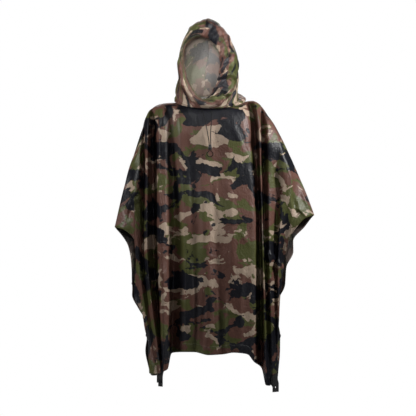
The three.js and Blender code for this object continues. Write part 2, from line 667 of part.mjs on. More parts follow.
// A closed tube of the cord's diameter along hand-set points.
function cordGeometry(points) {
  const places = points.map((p) => new THREE.Vector3(p.x, p.y, p.z));
  const route = new THREE.CatmullRomCurve3(places, false, "centripetal");
  const radius = CORD.diameter / 2;
  const turns = [...Array(CORD.sides).keys()].map((i) => (2 * Math.PI * i) / CORD.sides);
  const section = turns.map((t) => new THREE.Vector2(radius * Math.cos(t), radius * Math.sin(t)));
  const steps = Math.ceil(route.getLength() / CORD.stepLength);
  return new THREE.ExtrudeGeometry(new THREE.Shape(section), { steps, extrudePath: route });
}

// The cord lock: a small barrel with a push button on top.
function lockGeometry() {
  const { top, bottom, radius, neck, sides } = LOCK;
  const height = top - bottom;
  const profile = [
    [0, bottom],
    [radius * 0.8, bottom],
    [radius, bottom + height * 0.15],
    [radius, bottom + height * 0.6],
    [neck, bottom + height * 0.66],
    [neck, bottom + height * 0.92],
    [neck * 0.8, top],
    [0, top],
  ].map(([r, z]) => new THREE.Vector2(r, z));
  return new THREE.LatheGeometry(profile, sides).rotateX(Math.PI / 2).translate(LOCK.x, LOCK.y, 0);
}

const poncho = new THREE.Group();
const hood = hoodGrids();
poncho.add(named("hood_brim", brimWall(hood), CLOTH_LOOK));
poncho.add(named("hood_left", hoodHalf(hood, false), CLOTH_LOOK));
poncho.add(named("hood_right", hoodHalf(hood, true), CLOTH_LOOK));

const cloth = { front: solidOf(panelWall("front")), back: solidOf(panelWall("back")) };

for (const { node, across, down } of CORD_EYELETS) {
  const place = clearPlace(ringGeometry(CORD_EYELET), placeOn("front", across, down), cloth.front);
  poncho.add(seated(named(node, ringGeometry(CORD_EYELET), METAL_LOOK), place));
}

for (const right of [false, true]) {
  for (let i = 0; i < STUDS_PER_SIDE; i++) {
    for (const panel of ["front", "back"]) {
      const { across, down } = edgePlace(panel, right, STUD_FIRST_Z - i * STUD_PITCH, STUD.inset);
      const name = ["stud", panel, right ? "right" : "left", i + 1].join("_");
      const place = clearPlace(studGeometry(), placeOn(panel, across, down), cloth[panel]);
      poncho.add(seated(named(name, studGeometry(), METAL_LOOK), place));
    }
  }
}

for (const tab of TABS) {
  const { wall, seat } = tabParts(tab, cloth[tab.panel]);
  const patch = solidOf(wall).subtract(punch(seat, EYELET));
  poncho.add(named("tab_" + tab.corner, geometryOf(patch), WEBBING_LOOK));
  poncho.add(seated(named("eyelet_" + tab.corner, eyeletGeometry(EYELET, TAB.thickness), METAL_LOOK), seat));
}

poncho.add(named("front_panel", geometryOf(cloth.front), CLOTH_LOOK));
poncho.add(named("back_panel", geometryOf(cloth.back), CLOTH_LOOK));

poncho.add(named("drawcord_left", cordGeometry(CORD_LEFT), CORD_LOOK));
poncho.add(named("drawcord_right", cordGeometry(CORD_RIGHT), CORD_LOOK));
poncho.add(named("drawcord_loop", cordGeometry(CORD_LOOP), CORD_LOOK));
poncho.add(named("cord_lock", lockGeometry(), PLASTIC_LOOK));

export default poncho;
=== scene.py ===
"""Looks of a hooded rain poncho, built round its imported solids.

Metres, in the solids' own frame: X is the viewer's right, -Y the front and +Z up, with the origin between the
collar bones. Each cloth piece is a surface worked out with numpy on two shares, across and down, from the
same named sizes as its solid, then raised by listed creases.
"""

import logging
import math
from dataclasses import dataclass
from enum import Enum

import bmesh
import bpy
import numpy as np
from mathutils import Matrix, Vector

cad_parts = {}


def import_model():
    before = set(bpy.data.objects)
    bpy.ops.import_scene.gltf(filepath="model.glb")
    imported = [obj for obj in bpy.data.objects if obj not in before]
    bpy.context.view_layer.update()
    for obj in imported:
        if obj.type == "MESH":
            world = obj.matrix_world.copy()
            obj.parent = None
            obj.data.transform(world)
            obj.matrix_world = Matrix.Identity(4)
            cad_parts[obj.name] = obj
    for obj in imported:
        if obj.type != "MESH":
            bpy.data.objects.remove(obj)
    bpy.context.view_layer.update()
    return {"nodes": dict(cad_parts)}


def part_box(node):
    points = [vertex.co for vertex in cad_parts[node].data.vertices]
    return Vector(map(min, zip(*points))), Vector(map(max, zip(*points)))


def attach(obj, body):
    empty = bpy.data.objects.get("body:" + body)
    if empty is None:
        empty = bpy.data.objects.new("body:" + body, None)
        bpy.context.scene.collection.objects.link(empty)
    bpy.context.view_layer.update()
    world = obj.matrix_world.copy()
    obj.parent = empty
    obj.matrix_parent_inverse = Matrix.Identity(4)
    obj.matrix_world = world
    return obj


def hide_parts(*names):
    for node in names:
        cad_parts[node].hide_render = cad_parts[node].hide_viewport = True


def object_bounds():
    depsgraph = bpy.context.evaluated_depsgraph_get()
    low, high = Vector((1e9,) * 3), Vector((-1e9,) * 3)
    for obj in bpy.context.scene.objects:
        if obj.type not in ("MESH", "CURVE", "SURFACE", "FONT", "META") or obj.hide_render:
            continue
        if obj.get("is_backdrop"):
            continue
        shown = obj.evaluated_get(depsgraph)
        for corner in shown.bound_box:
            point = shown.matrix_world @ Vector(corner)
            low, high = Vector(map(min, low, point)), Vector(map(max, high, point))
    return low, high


LOG = logging.getLogger("poncho")
BODY = "root"

CLOTH_THICKNESS = 0.0009
SEAM_GAP = 0.0004
BUST = 0.15  # share of a fold's drop at which the cloth has come over the shoulder
WAIST = 0.5
STITCH_INSET = 0.031  # from a hem's edge to its line of stitches
HEM_WIDTH = 0.035
HEM_STEP = 0.0012

# Rows and columns of each piece's surface.
SHOULDER_ROWS, HANGING_ROWS = 28, 150
FRONT_COLUMNS, BACK_COLUMNS = 11, 17
HOOD_ROWS, HOOD_COLUMNS = 120, 150
BRIM_ROWS, BRIM_COLUMNS = 18, 320
BRIM_RING = 2  # the ring where the brim meets the hood's halves
ROUND_SIDES = 32

SEAM_FADE = 0.03  # share down a panel over which its creases grow from the shoulder seam
RUMPLE = 0.0018
HOOD_RUMPLE = 0.0028
RIM_GATHER = 0.0062
ARC_SHARE = 0.3  # how far the print follows the folds' own length, against their width as seen
NECK_GATHER = 0.0026
HOOD_GIRTH, RING_PITCH = 0.75, 0.035  # the hood's chart: its mean girth and its rings' mean spacing
RIM_REACH = 0.05  # how far from an edge its layer is measured
PATCH_TOP = 0.972
PATCH_PRESS, PATCH_FADE = 0.0016, 0.02
HOOD_PRINT_SHIFT, RINGS_IN_PRINT = np.array([5.13, 2.46]), 9

CORD_DIAMETER = 0.0036
CORD_STEPS = 8

# Profiles of the fittings: radius and height in millimetres.
STUD_PROFILE = (
    (0, 0), (6.5, 0), (6.5, 0.7), (6.1, 1.2), (5.3, 1.6), (4.4, 1.7), (4.1, 1.95), (2.2, 2.2), (0, 2.2),
)
RING_PROFILE = (
    (2.4, 0), (5, 0), (5, 0.35), (4.6, 0.6), (3.7, 1.1), (3.1, 1.2), (2.6, 1.1), (2.4, 0.8), (2.4, 0),
)
EYELET_HEIGHT = 0.0041
EYELET_HALF = (
    (4, 0), (4, 1.55), (4.25, 1.9), (4.9, 2.05), (6.6, 1.75),
    (8.2, 1.25), (8.5, 1.12), (8.4, 1.05), (5, 1.05), (5, 0),
)
LOCK_PROFILE = (
    (0, 0), (6, 0), (7.4, 0.6), (8, 2), (8, 12.6), (7.6, 13.2),
    (6.4, 13.5), (6.4, 20.4), (5.9, 21.5), (4.6, 22), (0, 22),
)

# The cloth's inner coating, its thread and its stitches.
COATING = (176, 172, 166)
THREAD = (52, 46, 42)
STITCH_PITCH = 0.0032
STITCH_WIDTH = 0.0006

# The camera, which sees a width of 1.768 m at the garment, and the studio.
SENSOR = 36.0
CAMERA_DISTANCE = 10.0
VIEW_WIDTH = 1.768
VIEW_MIDDLE_X, VIEW_MIDDLE_Z = -0.0085, -0.43775
FLOOR_RADIUS, FLOOR_Z = 2.0, -1.5
FLOOR_GRAIN, FLOOR_GLOW = 40.0, 0.55
FLOOR_COLOUR, FLOOR_SPECKS = (236, 236, 236), (226, 226, 226)
SURROUND_LIGHT, SURROUND_SHOWN = 0.02, 1.0

Point = tuple[float, float, float]


class Side(Enum):
    """Which way a panel faces."""

    FRONT = -1
    BACK = 1


@dataclass(frozen=True)
class Fold:
    """One fold of a panel: where it leaves the top edge, then its place at the bust, the waist and hem."""

    name: str
    top: float
    bust: tuple[float, float]
    waist: tuple[float, float]
    hem: Point


@dataclass(frozen=True)
class HoodRing:
    """One ring of the hood, from its low point at the throat to its high point at the brow, crown or nape."""

    low_y: float
    low_z: float
    high_y: float
    high_z: float
    half_width: float
    middle_x: float
    lean: float
    egg: float


@dataclass(frozen=True)
class NeckTurn:
    """One of the rings that turn in under the hood to the neck seam."""

    out: float
    up: float
    throat_out: float
    throat_up: float
    gathers: float


@dataclass(frozen=True)
class Crease:
    """A soft ridge (depth over zero) or trough in the cloth, between two places of the front view, x and z.

    bow is how far its middle stands off the straight line, and width the distance in which it fades.
    """

    start: tuple[float, float]
    end: tuple[float, float]
    width: float
    depth: float
    bow: float = 0.0


# The crest of the cloth over each shoulder and down the arm: x, y, z.
SHOULDER_LINE = (
    (-0.404, -0.03, -0.518),
    (-0.378, -0.027, -0.416),
    (-0.357, -0.023, -0.314),
    (-0.323, -0.017, -0.212),
    (-0.29, -0.01, -0.126),
    (-0.272, -0.005, -0.06),
    (-0.259, -0.002, -0.026),
    (-0.234, 0.0, -0.008),
    (-0.19, 0.0, 0.008),
    (-0.134, 0.0, 0.01),
    (0.134, 0.0, 0.01),
    (0.168, 0.0, 0.019),
    (0.204, 0.0, 0.008),
    (0.23, -0.002, -0.026),
    (0.255, -0.005, -0.06),
    (0.297, -0.011, -0.127),
    (0.341, -0.018, -0.225),
    (0.389, -0.024, -0.331),
    (0.43, -0.029, -0.43),
    (0.442, -0.03, -0.467),
)
# The open side edges: z, front edge x, back edge x, front edge y, back edge y.
LEFT_EDGE = (
    (-0.518, -0.404, -0.404, -0.03, -0.03),
    (-0.528, -0.368, -0.398, -0.066, 0.008),
    (-0.552, -0.334, -0.378, -0.072, 0.034),
    (-0.603, -0.308, -0.348, -0.058, 0.038),
    (-0.672, -0.312, -0.336, -0.04, 0.024),
    (-0.738, -0.32, -0.332, -0.016, -0.004),
    (-0.803, -0.322, -0.332, -0.026, 0.004),
    (-0.862, -0.3, -0.306, -0.012, 0.0),
    (-0.926, -0.27, -0.273, -0.022, 0.01),
    (-0.985, -0.262, -0.268, -0.014, 0.0),
    (-1.045, -0.262, -0.275, -0.038, 0.004),
    (-1.134, -0.256, -0.255, -0.092, -0.026),
)
RIGHT_EDGE = (
    (-0.467, 0.442, 0.442, -0.03, -0.03),
    (-0.479, 0.406, 0.432, -0.066, 0.008),
    (-0.518, 0.366, 0.404, -0.076, 0.036),
    (-0.58, 0.328, 0.356, -0.066, 0.044),
    (-0.622, 0.316, 0.356, -0.052, 0.04),
    (-0.69, 0.308, 0.326, -0.034, 0.022),
    (-0.765, 0.306, 0.319, -0.016, -0.004),
    (-0.838, 0.285, 0.29, -0.016, -0.004),
    (-0.911, 0.286, 0.289, -0.016, -0.004),
    (-0.983, 0.297, 0.3, -0.016, -0.004),
    (-1.063, 0.295, 0.297, -0.028, 0.004),
    (-1.152, 0.287, 0.288, -0.056, -0.01),
)
NECK_HALF_WIDTH, NECK_FRONT, NECK_BACK = 0.134, 0.104, 0.086
NECK_SIDE_Z, NECK_FRONT_Z, NECK_BACK_Z = 0.010, -0.018, 0.034

FRONT_FOLDS = (
    Fold("left arm swag", -0.38, (-0.322, -0.082), (-0.302, -0.058), (-0.233, -0.112, -1.137)),
    Fold("left forearm", -0.345, (-0.318, -0.086), (-0.296, -0.092), (-0.225, -0.124, -1.136)),
    Fold("left upper arm", -0.3, (-0.298, -0.084), (-0.29, -0.084), (-0.219, -0.127, -1.134)),
    Fold("left arm crease", -0.268, (-0.284, -0.034), (-0.284, -0.062), (-0.213, -0.131, -1.131)),
    Fold("left narrow pipe", -0.258, (-0.263, -0.102), (-0.264, -0.114), (-0.207, -0.136, -1.128)),
    Fold("left deep hollow", -0.243, (-0.242, -0.03), (-0.24, -0.028), (-0.2, -0.136, -1.124)),
    Fold("left pipe", -0.225, (-0.212, -0.122), (-0.207, -0.152), (-0.19, -0.156, -1.12)),
    Fold("left pipe flank", -0.208, (-0.191, -0.12), (-0.184, -0.144), (-0.177, -0.15, -1.112)),
    Fold("left body hollow", -0.188, (-0.16, -0.098), (-0.151, -0.09), (-0.16, -0.098, -1.048)),
    Fold("left chest", -0.158, (-0.12, -0.134), (-0.103, -0.146), (-0.097, -0.15, -1.041)),
    Fold("left of centre dip", -0.112, (-0.084, -0.13), (-0.06, -0.14), (-0.062, -0.142, -1.042)),
    Fold("centre pleat", -0.058, (-0.028, -0.143), (-0.012, -0.156), (-0.006, -0.166, -1.053)),
    Fold("centre crease", 0.006, (0.024, -0.134), (0.03, -0.142), (0.051, -0.148, -1.051)),
    Fold("right of centre", 0.052, (0.08, -0.14), (0.092, -0.152), (0.098, -0.162, -1.043)),
    Fold("right chest", 0.09, (0.138, -0.128), (0.158, -0.142), (0.155, -0.15, -1.05)),
    Fold("right chest flank", 0.117, (0.168, -0.114), (0.188, -0.132), (0.184, -0.138, -1.082)),
    Fold("right deep hollow", 0.15, (0.19, -0.042), (0.211, -0.034), (0.217, -0.084, -1.112)),
    Fold("right narrow pipe", 0.178, (0.209, -0.112), (0.221, -0.13), (0.234, -0.14, -1.18)),
    Fold("right arm crease", 0.209, (0.223, -0.044), (0.231, -0.082), (0.25, -0.12, -1.184)),
    Fold("right arm front", 0.232, (0.246, -0.1), (0.249, -0.12), (0.264, -0.118, -1.172)),
    Fold("right upper arm", 0.266, (0.286, -0.088), (0.277, -0.076), (0.276, -0.108, -1.164)),
    Fold("right elbow", 0.31, (0.311, -0.096), (0.288, -0.098), (0.283, -0.098, -1.16)),
    Fold("right forearm", 0.36, (0.339, -0.092), (0.295, -0.066), (0.284, -0.084, -1.158)),
    Fold("right arm swag", 0.405, (0.351, -0.084), (0.299, -0.05), (0.285, -0.07, -1.156)),
)
BACK_FOLDS = (
    Fold("left sleeve back", -0.366, (-0.331, 0.054), (-0.3, 0.044), (-0.246, 0.004, -1.15)),
    Fold("left elbow back", -0.323, (-0.313, 0.066), (-0.288, 0.084), (-0.23, 0.036, -1.152)),
    Fold("left arm back hollow", -0.276, (-0.275, 0.038), (-0.268, 0.03), (-0.208, 0.044, -1.128)),
    Fold("left back pipe", -0.244, (-0.235, 0.1), (-0.229, 0.132), (-0.2, 0.124, -1.086)),
    Fold("left back hollow", -0.206, (-0.195, 0.084), (-0.186, 0.07), (-0.172, 0.092, -1.042)),
    Fold("left blade", -0.15, (-0.128, 0.118), (-0.122, 0.138), (-0.122, 0.15, -1.032)),
    Fold("left of spine", -0.078, (-0.066, 0.112), (-0.062, 0.114), (-0.06, 0.114, -1.03)),
    Fold("spine", 0.0, (0.0, 0.118), (0.0, 0.136), (0.002, 0.152, -1.034)),
    Fold("right of spine", 0.078, (0.068, 0.112), (0.064, 0.114), (0.066, 0.116, -1.03)),
    Fold("right blade", 0.14, (0.13, 0.118), (0.126, 0.138), (0.126, 0.15, -1.034)),
    Fold("right back hollow", 0.18, (0.176, 0.084), (0.172, 0.07), (0.172, 0.092, -1.046)),
    Fold("right back pipe", 0.215, (0.214, 0.098), (0.214, 0.13), (0.218, 0.12, -1.096)),
    Fold("right arm back hollow", 0.257, (0.258, 0.038), (0.25, 0.032), (0.246, 0.048, -1.146)),
    Fold("right elbow back", 0.318, (0.31, 0.068), (0.282, 0.088), (0.266, 0.046, -1.158)),
    Fold("right sleeve back", 0.386, (0.354, 0.056), (0.298, 0.046), (0.28, 0.016, -1.156)),
)
HOOD_RINGS = (
    HoodRing(-0.112, 0.022, -0.124, 0.281, 0.074, -0.032, -0.012, -0.26),
    HoodRing(-0.124, 0.017, -0.138, 0.292, 0.084, -0.028, -0.012, -0.2),
    HoodRing(-0.131, 0.009, -0.139, 0.318, 0.1, -0.021, 0, -0.08),
    HoodRing(-0.134, 0.001, -0.124, 0.342, 0.113, -0.015, -0.004, 0.06),
    HoodRing(-0.135, -0.005, -0.084, 0.358, 0.12, -0.012, -0.008, 0.1),
    HoodRing(-0.134, -0.009, -0.02, 0.364, 0.124, -0.009, -0.01, 0.12),
    HoodRing(-0.132, -0.012, 0.052, 0.346, 0.125, -0.008, -0.008, 0.1),
    HoodRing(-0.13, -0.014, 0.108, 0.298, 0.126, -0.007, -0.004, 0.05),
    HoodRing(-0.128, -0.016, 0.136, 0.228, 0.128, -0.005, 0, 0),
    HoodRing(-0.126, -0.018, 0.14, 0.156, 0.129, -0.012, -0.016, -0.02),
    HoodRing(-0.124, -0.019, 0.126, 0.092, 0.132, -0.012, -0.02, 0),
)
NECK_TURNS = (
    NeckTurn(0.017, 0.019, 0.0175, -0.0016, 0.6),
    NeckTurn(0.018, 0.012, 0.014, -0.002, 1.0),
    NeckTurn(0.011, 0.0055, 0.009, -0.0014, 0.5),
    NeckTurn(0.0, 0.0009, 0.0, 0.0009, 0.0),
)

# The drawcord's route as three stretches: to the lock, round the loop under it, and the other strand.
CORD_LEFT = (
    (-0.0346, -0.1168, -0.032),
    (-0.0346, -0.1237, -0.0281),
    (-0.0335, -0.1285, -0.0275),
    (-0.031, -0.1325, -0.0325),
    (-0.028, -0.134, -0.043),
    (-0.021, -0.1385, -0.066),
    (-0.015, -0.1445, -0.098),
    (-0.009, -0.1495, -0.132),
    (-0.0045, -0.1523, -0.158),
    (-0.0035, -0.153, -0.1717),
)
CORD_LOOP = (
    (-0.0035, -0.153, -0.1944),
    (-0.0038, -0.153, -0.199),
    (-0.011, -0.1525, -0.206),
    (-0.0125, -0.152, -0.213),
    (-0.0075, -0.151, -0.2205),
    (0.0, -0.1505, -0.223),
    (0.0075, -0.151, -0.2205),
    (0.0125, -0.152, -0.213),
    (0.011, -0.1525, -0.206),
    (0.0038, -0.153, -0.199),
    (0.0035, -0.153, -0.1944),
)
CORD_RIGHT = (
    (0.0076, -0.1184, -0.0338),
    (0.0077, -0.1253, -0.031),
    (0.008, -0.13, -0.0314),
    (0.008, -0.133, -0.0365),
    (0.0075, -0.1345, -0.046),
    (0.0065, -0.1385, -0.066),
    (0.004, -0.1445, -0.098),
    (0.0025, -0.1495, -0.132),
    (0.003, -0.1523, -0.158),
    (0.0035, -0.153, -0.1717),
)


# Creases in the front panel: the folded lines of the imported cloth, then puckers and drag lines.
FRONT_CREASES = (
    Crease((0.2295, -0.1615), (0.3145, -0.159), 0.0045, 0.0022),
    Crease((0.2465, -0.055), (0.2485, -0.115), 0.006, 0.003),
    Crease((0.038, -0.5015), (0.170, -0.5015), 0.005, 0.002),
    Crease((0.0276, -0.701), (0.0276, -1.045), 0.0045, 0.0024),
    Crease((-0.306, -0.7055), (-0.251, -0.7395), 0.007, 0.007),
    Crease((-0.300, -0.727), (-0.25, -0.72), 0.006, -0.006),
    Crease((0.106, -0.51), (0.17, -0.60), 0.008, 0.003),
    Crease((0.1275, 0.02), (0.221, 0.0085), 0.006, 0.002),
    Crease((-0.0425, -0.047), (-0.013, -0.149), 0.008, -0.004, 0.006),
    Crease((0.045, -0.04), (0.018, -0.16), 0.009, -0.003, -0.006),
    Crease((-0.11, -0.03), (-0.075, -0.20), 0.012, 0.004, 0.010),
    Crease((-0.15, -0.02), (-0.16, -0.12), 0.008, -0.003),
    Crease((-0.21, -0.02), (-0.235, -0.12), 0.009, -0.005, 0.004),
    Crease((-0.19, -0.01), (-0.205, -0.10), 0.007, 0.004),
    Crease((-0.232, -0.03), (-0.255, -0.10), 0.006, 0.003),
    Crease((-0.355, -0.465), (-0.30, -0.35), 0.006, 0.007, 0.006),
    Crease((-0.35, -0.43), (-0.28, -0.385), 0.005, 0.006),
    Crease((-0.345, -0.49), (-0.33, -0.39), 0.006, -0.006),
    Crease((-0.36, -0.36), (-0.31, -0.26), 0.009, -0.007, 0.006),
    Crease((-0.335, -0.30), (-0.29, -0.14), 0.008, 0.005, -0.006),
    Crease((0.3825, -0.361), (0.425, -0.455), 0.008, 0.007),
    Crease((0.3485, -0.3825), (0.37, -0.4675), 0.009, -0.008),
    Crease((0.355, -0.43), (0.405, -0.47), 0.006, 0.006),
    Crease((0.30, -0.20), (0.345, -0.36), 0.010, 0.007, 0.008),
    Crease((0.27, -0.25), (0.31, -0.42), 0.010, -0.007, -0.006),
    Crease((0.217, -0.608), (0.319, -0.710), 0.010, 0.008, 0.006),
    Crease((0.235, -0.66), (0.30, -0.735), 0.007, -0.004),
    Crease((0.225, -0.715), (0.29, -0.76), 0.007, 0.004),
    Crease((0.230, -0.77), (0.275, -0.80), 0.006, -0.003),
    Crease((0.08, -0.08), (0.14, -0.22), 0.012, 0.004, 0.012),
    Crease((0.15, -0.06), (0.175, -0.19), 0.009, -0.004),
    Crease((-0.04, -0.30), (-0.03, -0.62), 0.012, 0.005, 0.008),
    Crease((0.02, -0.26), (0.045, -0.50), 0.010, 0.004, -0.006),
    Crease((0.08, -0.33), (0.095, -0.74), 0.014, 0.006, 0.006),
    Crease((0.14, -0.66), (0.125, -1.02), 0.012, 0.006, -0.006),
    Crease((0.075, -0.78), (0.07, -1.03), 0.009, 0.005, 0.004),
    Crease((-0.08, -0.66), (-0.075, -1.02), 0.010, 0.006, 0.004),
    Crease((-0.125, -0.45), (-0.12, -0.90), 0.010, -0.006, 0.004),
    Crease((-0.10, -0.22), (-0.09, -0.52), 0.010, 0.004, 0.006),
    Crease((-0.02, -0.76), (-0.035, -1.03), 0.009, -0.006),
    Crease((-0.20, -0.60), (-0.195, -1.06), 0.008, 0.004, 0.003),
    Crease((-0.17, -0.80), (-0.10, -0.84), 0.007, 0.003),
    Crease((0.03, -0.86), (0.12, -0.88), 0.006, 0.003),
    Crease((-0.02, -0.64), (0.05, -0.66), 0.006, 0.0025, 0.006),
    Crease((0.205, -0.93), (0.24, -1.08), 0.008, 0.003),
)
# Creases in the hood, on a flat chart: across from the crown to the viewer's right, and from the face opening
# towards the neck. They run out from the gathers, more and deeper on the right.
HOOD_CREASES = (
    Crease((0.020, 0.030), (0.010, 0.16), 0.009, 0.005, 0.006),
    Crease((0.055, 0.020), (0.075, 0.19), 0.008, -0.006, 0.010),
    Crease((0.085, 0.030), (0.115, 0.22), 0.009, 0.006, -0.008),
    Crease((0.120, 0.010), (0.150, 0.17), 0.008, -0.006, 0.008),
    Crease((0.150, 0.025), (0.190, 0.20), 0.009, 0.006, 0.008),
    Crease((0.185, 0.015), (0.215, 0.26), 0.009, -0.007, -0.010),
    Crease((0.215, 0.030), (0.245, 0.19), 0.008, 0.007, 0.006),
    Crease((0.232, 0.060), (0.252, 0.22), 0.006, -0.008, 0.006),
    Crease((0.206, 0.070), (0.222, 0.21), 0.005, -0.007, -0.006),
    Crease((0.245, 0.015), (0.262, 0.30), 0.009, -0.007, 0.008),
    Crease((0.270, 0.030), (0.290, 0.22), 0.009, 0.006, -0.006),
    Crease((0.300, 0.020), (0.315, 0.28), 0.008, -0.005, 0.006),
    Crease((0.330, 0.040), (0.335, 0.34), 0.009, 0.004),
    Crease((0.150, 0.20), (0.250, 0.16), 0.010, 0.005, 0.010),
    Crease((0.180, 0.29), (0.300, 0.24), 0.009, -0.005, 0.008),
    Crease((0.090, 0.28), (0.150, 0.40), 0.012, 0.005, 0.010),
    Crease((0.200, 0.37), (0.300, 0.34), 0.011, 0.003, 0.006),
    Crease((0.180, 0.40), (0.260, 0.38), 0.011, -0.002),
    Crease((-0.030, 0.030), (-0.035, 0.18), 0.009, -0.004, -0.006),
    Crease((-0.070, 0.030), (-0.095, 0.21), 0.009, 0.005, -0.008),
    Crease((-0.120, 0.020), (-0.145, 0.16), 0.009, -0.005, 0.006),
    Crease((-0.165, 0.030), (-0.195, 0.24), 0.010, 0.005, 0.008),
    Crease((-0.210, 0.020), (-0.235, 0.19), 0.009, -0.004),
    Crease((-0.255, 0.030), (-0.270, 0.26), 0.010, 0.005, -0.006),
    Crease((-0.300, 0.030), (-0.310, 0.30), 0.009, -0.004, 0.006),
    Crease((-0.210, 0.33), (-0.110, 0.30), 0.010, 0.005, 0.010),
    Crease((-0.290, 0.38), (-0.190, 0.40), 0.008, -0.004, 0.006),
    Crease((-0.060, 0.30), (-0.020, 0.42), 0.012, 0.004, 0.008),
)
# Similar ones on the back, which the photograph doesn't show.
BACK_CREASES = (
    Crease((-0.11, -0.02), (-0.07, -0.19), 0.012, 0.004, 0.008),
    Crease((0.10, -0.02), (0.08, -0.21), 0.011, 0.004, -0.008),
    Crease((-0.03, 0.0), (-0.02, -0.16), 0.010, -0.003, 0.004),
    Crease((0.04, 0.0), (0.03, -0.13), 0.009, -0.003),
    Crease((-0.19, -0.02), (-0.21, -0.13), 0.008, -0.004),
    Crease((-0.23, -0.04), (-0.25, -0.12), 0.007, 0.004),
    Crease((0.17, -0.01), (0.19, -0.12), 0.008, -0.004),
    Crease((0.21, -0.04), (0.235, -0.12), 0.007, 0.004),
    Crease((-0.35, -0.34), (-0.30, -0.24), 0.009, 0.004),
    Crease((-0.33, -0.44), (-0.29, -0.38), 0.008, -0.004),
    Crease((0.38, -0.36), (0.42, -0.44), 0.008, 0.004),
    Crease((0.33, -0.27), (0.36, -0.40), 0.009, -0.004, 0.006),
    Crease((-0.29, -0.60), (-0.22, -0.66), 0.008, 0.004),
    Crease((-0.27, -0.66), (-0.21, -0.69), 0.007, -0.003),
    Crease((0.24, -0.62), (0.31, -0.69), 0.009, 0.005),
    Crease((0.235, -0.69), (0.29, -0.74), 0.007, -0.004),
    Crease((-0.12, -0.503), (0.10, -0.503), 0.005, 0.002),
    Crease((0.002, -0.25), (0.002, -0.98), 0.005, 0.0024),
    Crease((-0.13, -0.40), (-0.12, -0.80), 0.013, 0.003, 0.006),
    Crease((0.12, -0.45), (0.135, -0.92), 0.013, 0.003, -0.006),
    Crease((-0.06, -0.66), (-0.065, -1.0), 0.010, -0.003),
    Crease((0.065, -0.58), (0.055, -0.95), 0.010, -0.003, 0.004),
    Crease((-0.19, -0.72), (-0.18, -1.02), 0.009, 0.003),
    Crease((0.20, -0.74), (0.215, -1.06), 0.009, 0.003),
    Crease((-0.10, -0.84), (0.02, -0.86), 0.006, 0.0018),
)


def smooth_through(at: np.ndarray, values: np.ndarray, where: np.ndarray) -> np.ndarray:
    """Monotone cubic curve through rows of values.

    Each span is a Hermite cubic. Its end slopes are the weighted harmonic mean of the neighbouring chords,
    and zero at a crest or hollow, so the curve never overshoots.

    Args:
        at: The places of the rows, rising, shape (n,).
        values: The rows, shape (n, ...).
        where: The places asked for, shape (m,).

    Returns:
        The curve there, shape (m, ...).
    """
    wide = (-1,) + (1,) * (values.ndim - 1)
    step = np.diff(at).reshape(wide)
    chord = np.diff(values, axis=0) / step
    before, after = 2 * step[1:] + step[:-1], step[1:] + 2 * step[:-1]
    rising = chord[:-1] * chord[1:] > 0
    low, high = np.where(rising, chord[:-1], 1.0), np.where(rising, chord[1:], 1.0)
    inner = np.where(rising, (before + after) / (before / low + after / high), 0.0)
    slope = np.concatenate([chord[:1], inner, chord[-1:]])
    span = np.clip(np.searchsorted(at, where, side="right") - 1, 0, len(at) - 2)
    length = step[span]
    t = (where - at[span]).reshape(wide) / length
    return (
        values[span] * (2 * t**3 - 3 * t**2 + 1)
        + length * slope[span] * (t**3 - 2 * t**2 + t)
        + values[span + 1] * (3 * t**2 - 2 * t**3)
        + length * slope[span + 1] * (t**3 - t**2)
    )


def through_points(points: tuple[Point, ...], steps: int) -> np.ndarray:
    """Centripetal curve through given points: on each span a blend of three straight blends of its four
    nearest points, with knots spaced by the square root of their distances.

    Args:
        points: The points that it passes.
        steps: Steps in each span.

    Returns:
        Points along it, shape (m, 3).
    """
    p = np.array(points, float)
    p = np.concatenate([[2 * p[0] - p[1]], p, [2 * p[-1] - p[-2]]])
    a, b, c, d = p[:-3], p[1:-2], p[2:-1], p[3:]
    knots = [np.zeros((len(a), 1))]
    for start, end in ((a, b), (b, c), (c, d)):
        knots.append(knots[-1] + np.sqrt(np.linalg.norm(end - start, axis=1, keepdims=True)))
    k0, k1, k2, k3 = (k[:, None] for k in knots)
    t = k1 + (k2 - k1) * np.linspace(0, 1, steps, endpoint=False)[None, :, None]
    a, b, c, d = (x[:, None] for x in (a, b, c, d))

    def blend(low: np.ndarray, high: np.ndarray, from_knot: np.ndarray, to_knot: np.ndarray) -> np.ndarray:
        """Straight blend of two curves between two knots."""
        return (low * (to_knot - t) + high * (t - from_knot)) / (to_knot - from_knot)

    first, second, third = blend(a, b, k0, k1), blend(b, c, k1, k2), blend(c, d, k2, k3)
    curve = blend(blend(first, second, k0, k2), blend(second, third, k1, k3), k1, k2)
    return np.concatenate([curve.reshape(-1, 3), p[-2:-1]])


def travelled(points: np.ndarray, axis: int) -> np.ndarray:
    """Length covered along one axis of a grid of points, from its first row or column."""
    steps = np.linalg.norm(np.diff(points, axis=axis), axis=-1)
    start = np.zeros_like(np.take(steps, [0], axis=axis))
    return np.concatenate([start, np.cumsum(steps, axis=axis)], axis=axis)


def grid_normals(points: np.ndarray, facing: int, wraps: bool = False) -> np.ndarray:
    """Unit normals of a grid: the cross product of its slopes across and down, times facing.

    Args:
        points: The grid, shape (rows, columns, 3).
        facing: 1 where across by down points outwards, else -1.
        wraps: Whether the last column meets the first.

    Returns:
        The normals, shaped like the grid.
    """
    if wraps:
        across = np.roll(points, -1, axis=1) - np.roll(points, 1, axis=1)
    else:
        across = np.gradient(points, axis=1)
    normals = np.cross(across, np.gradient(points, axis=0)) * facing
    return normals / np.maximum(np.linalg.norm(normals, axis=-1, keepdims=True), 1e-12)


def raised(points: np.ndarray, normals: np.ndarray, height: np.ndarray) -> np.ndarray:
    """The grid moved along its normals by a height at each point."""
    return points + normals * height[..., None]


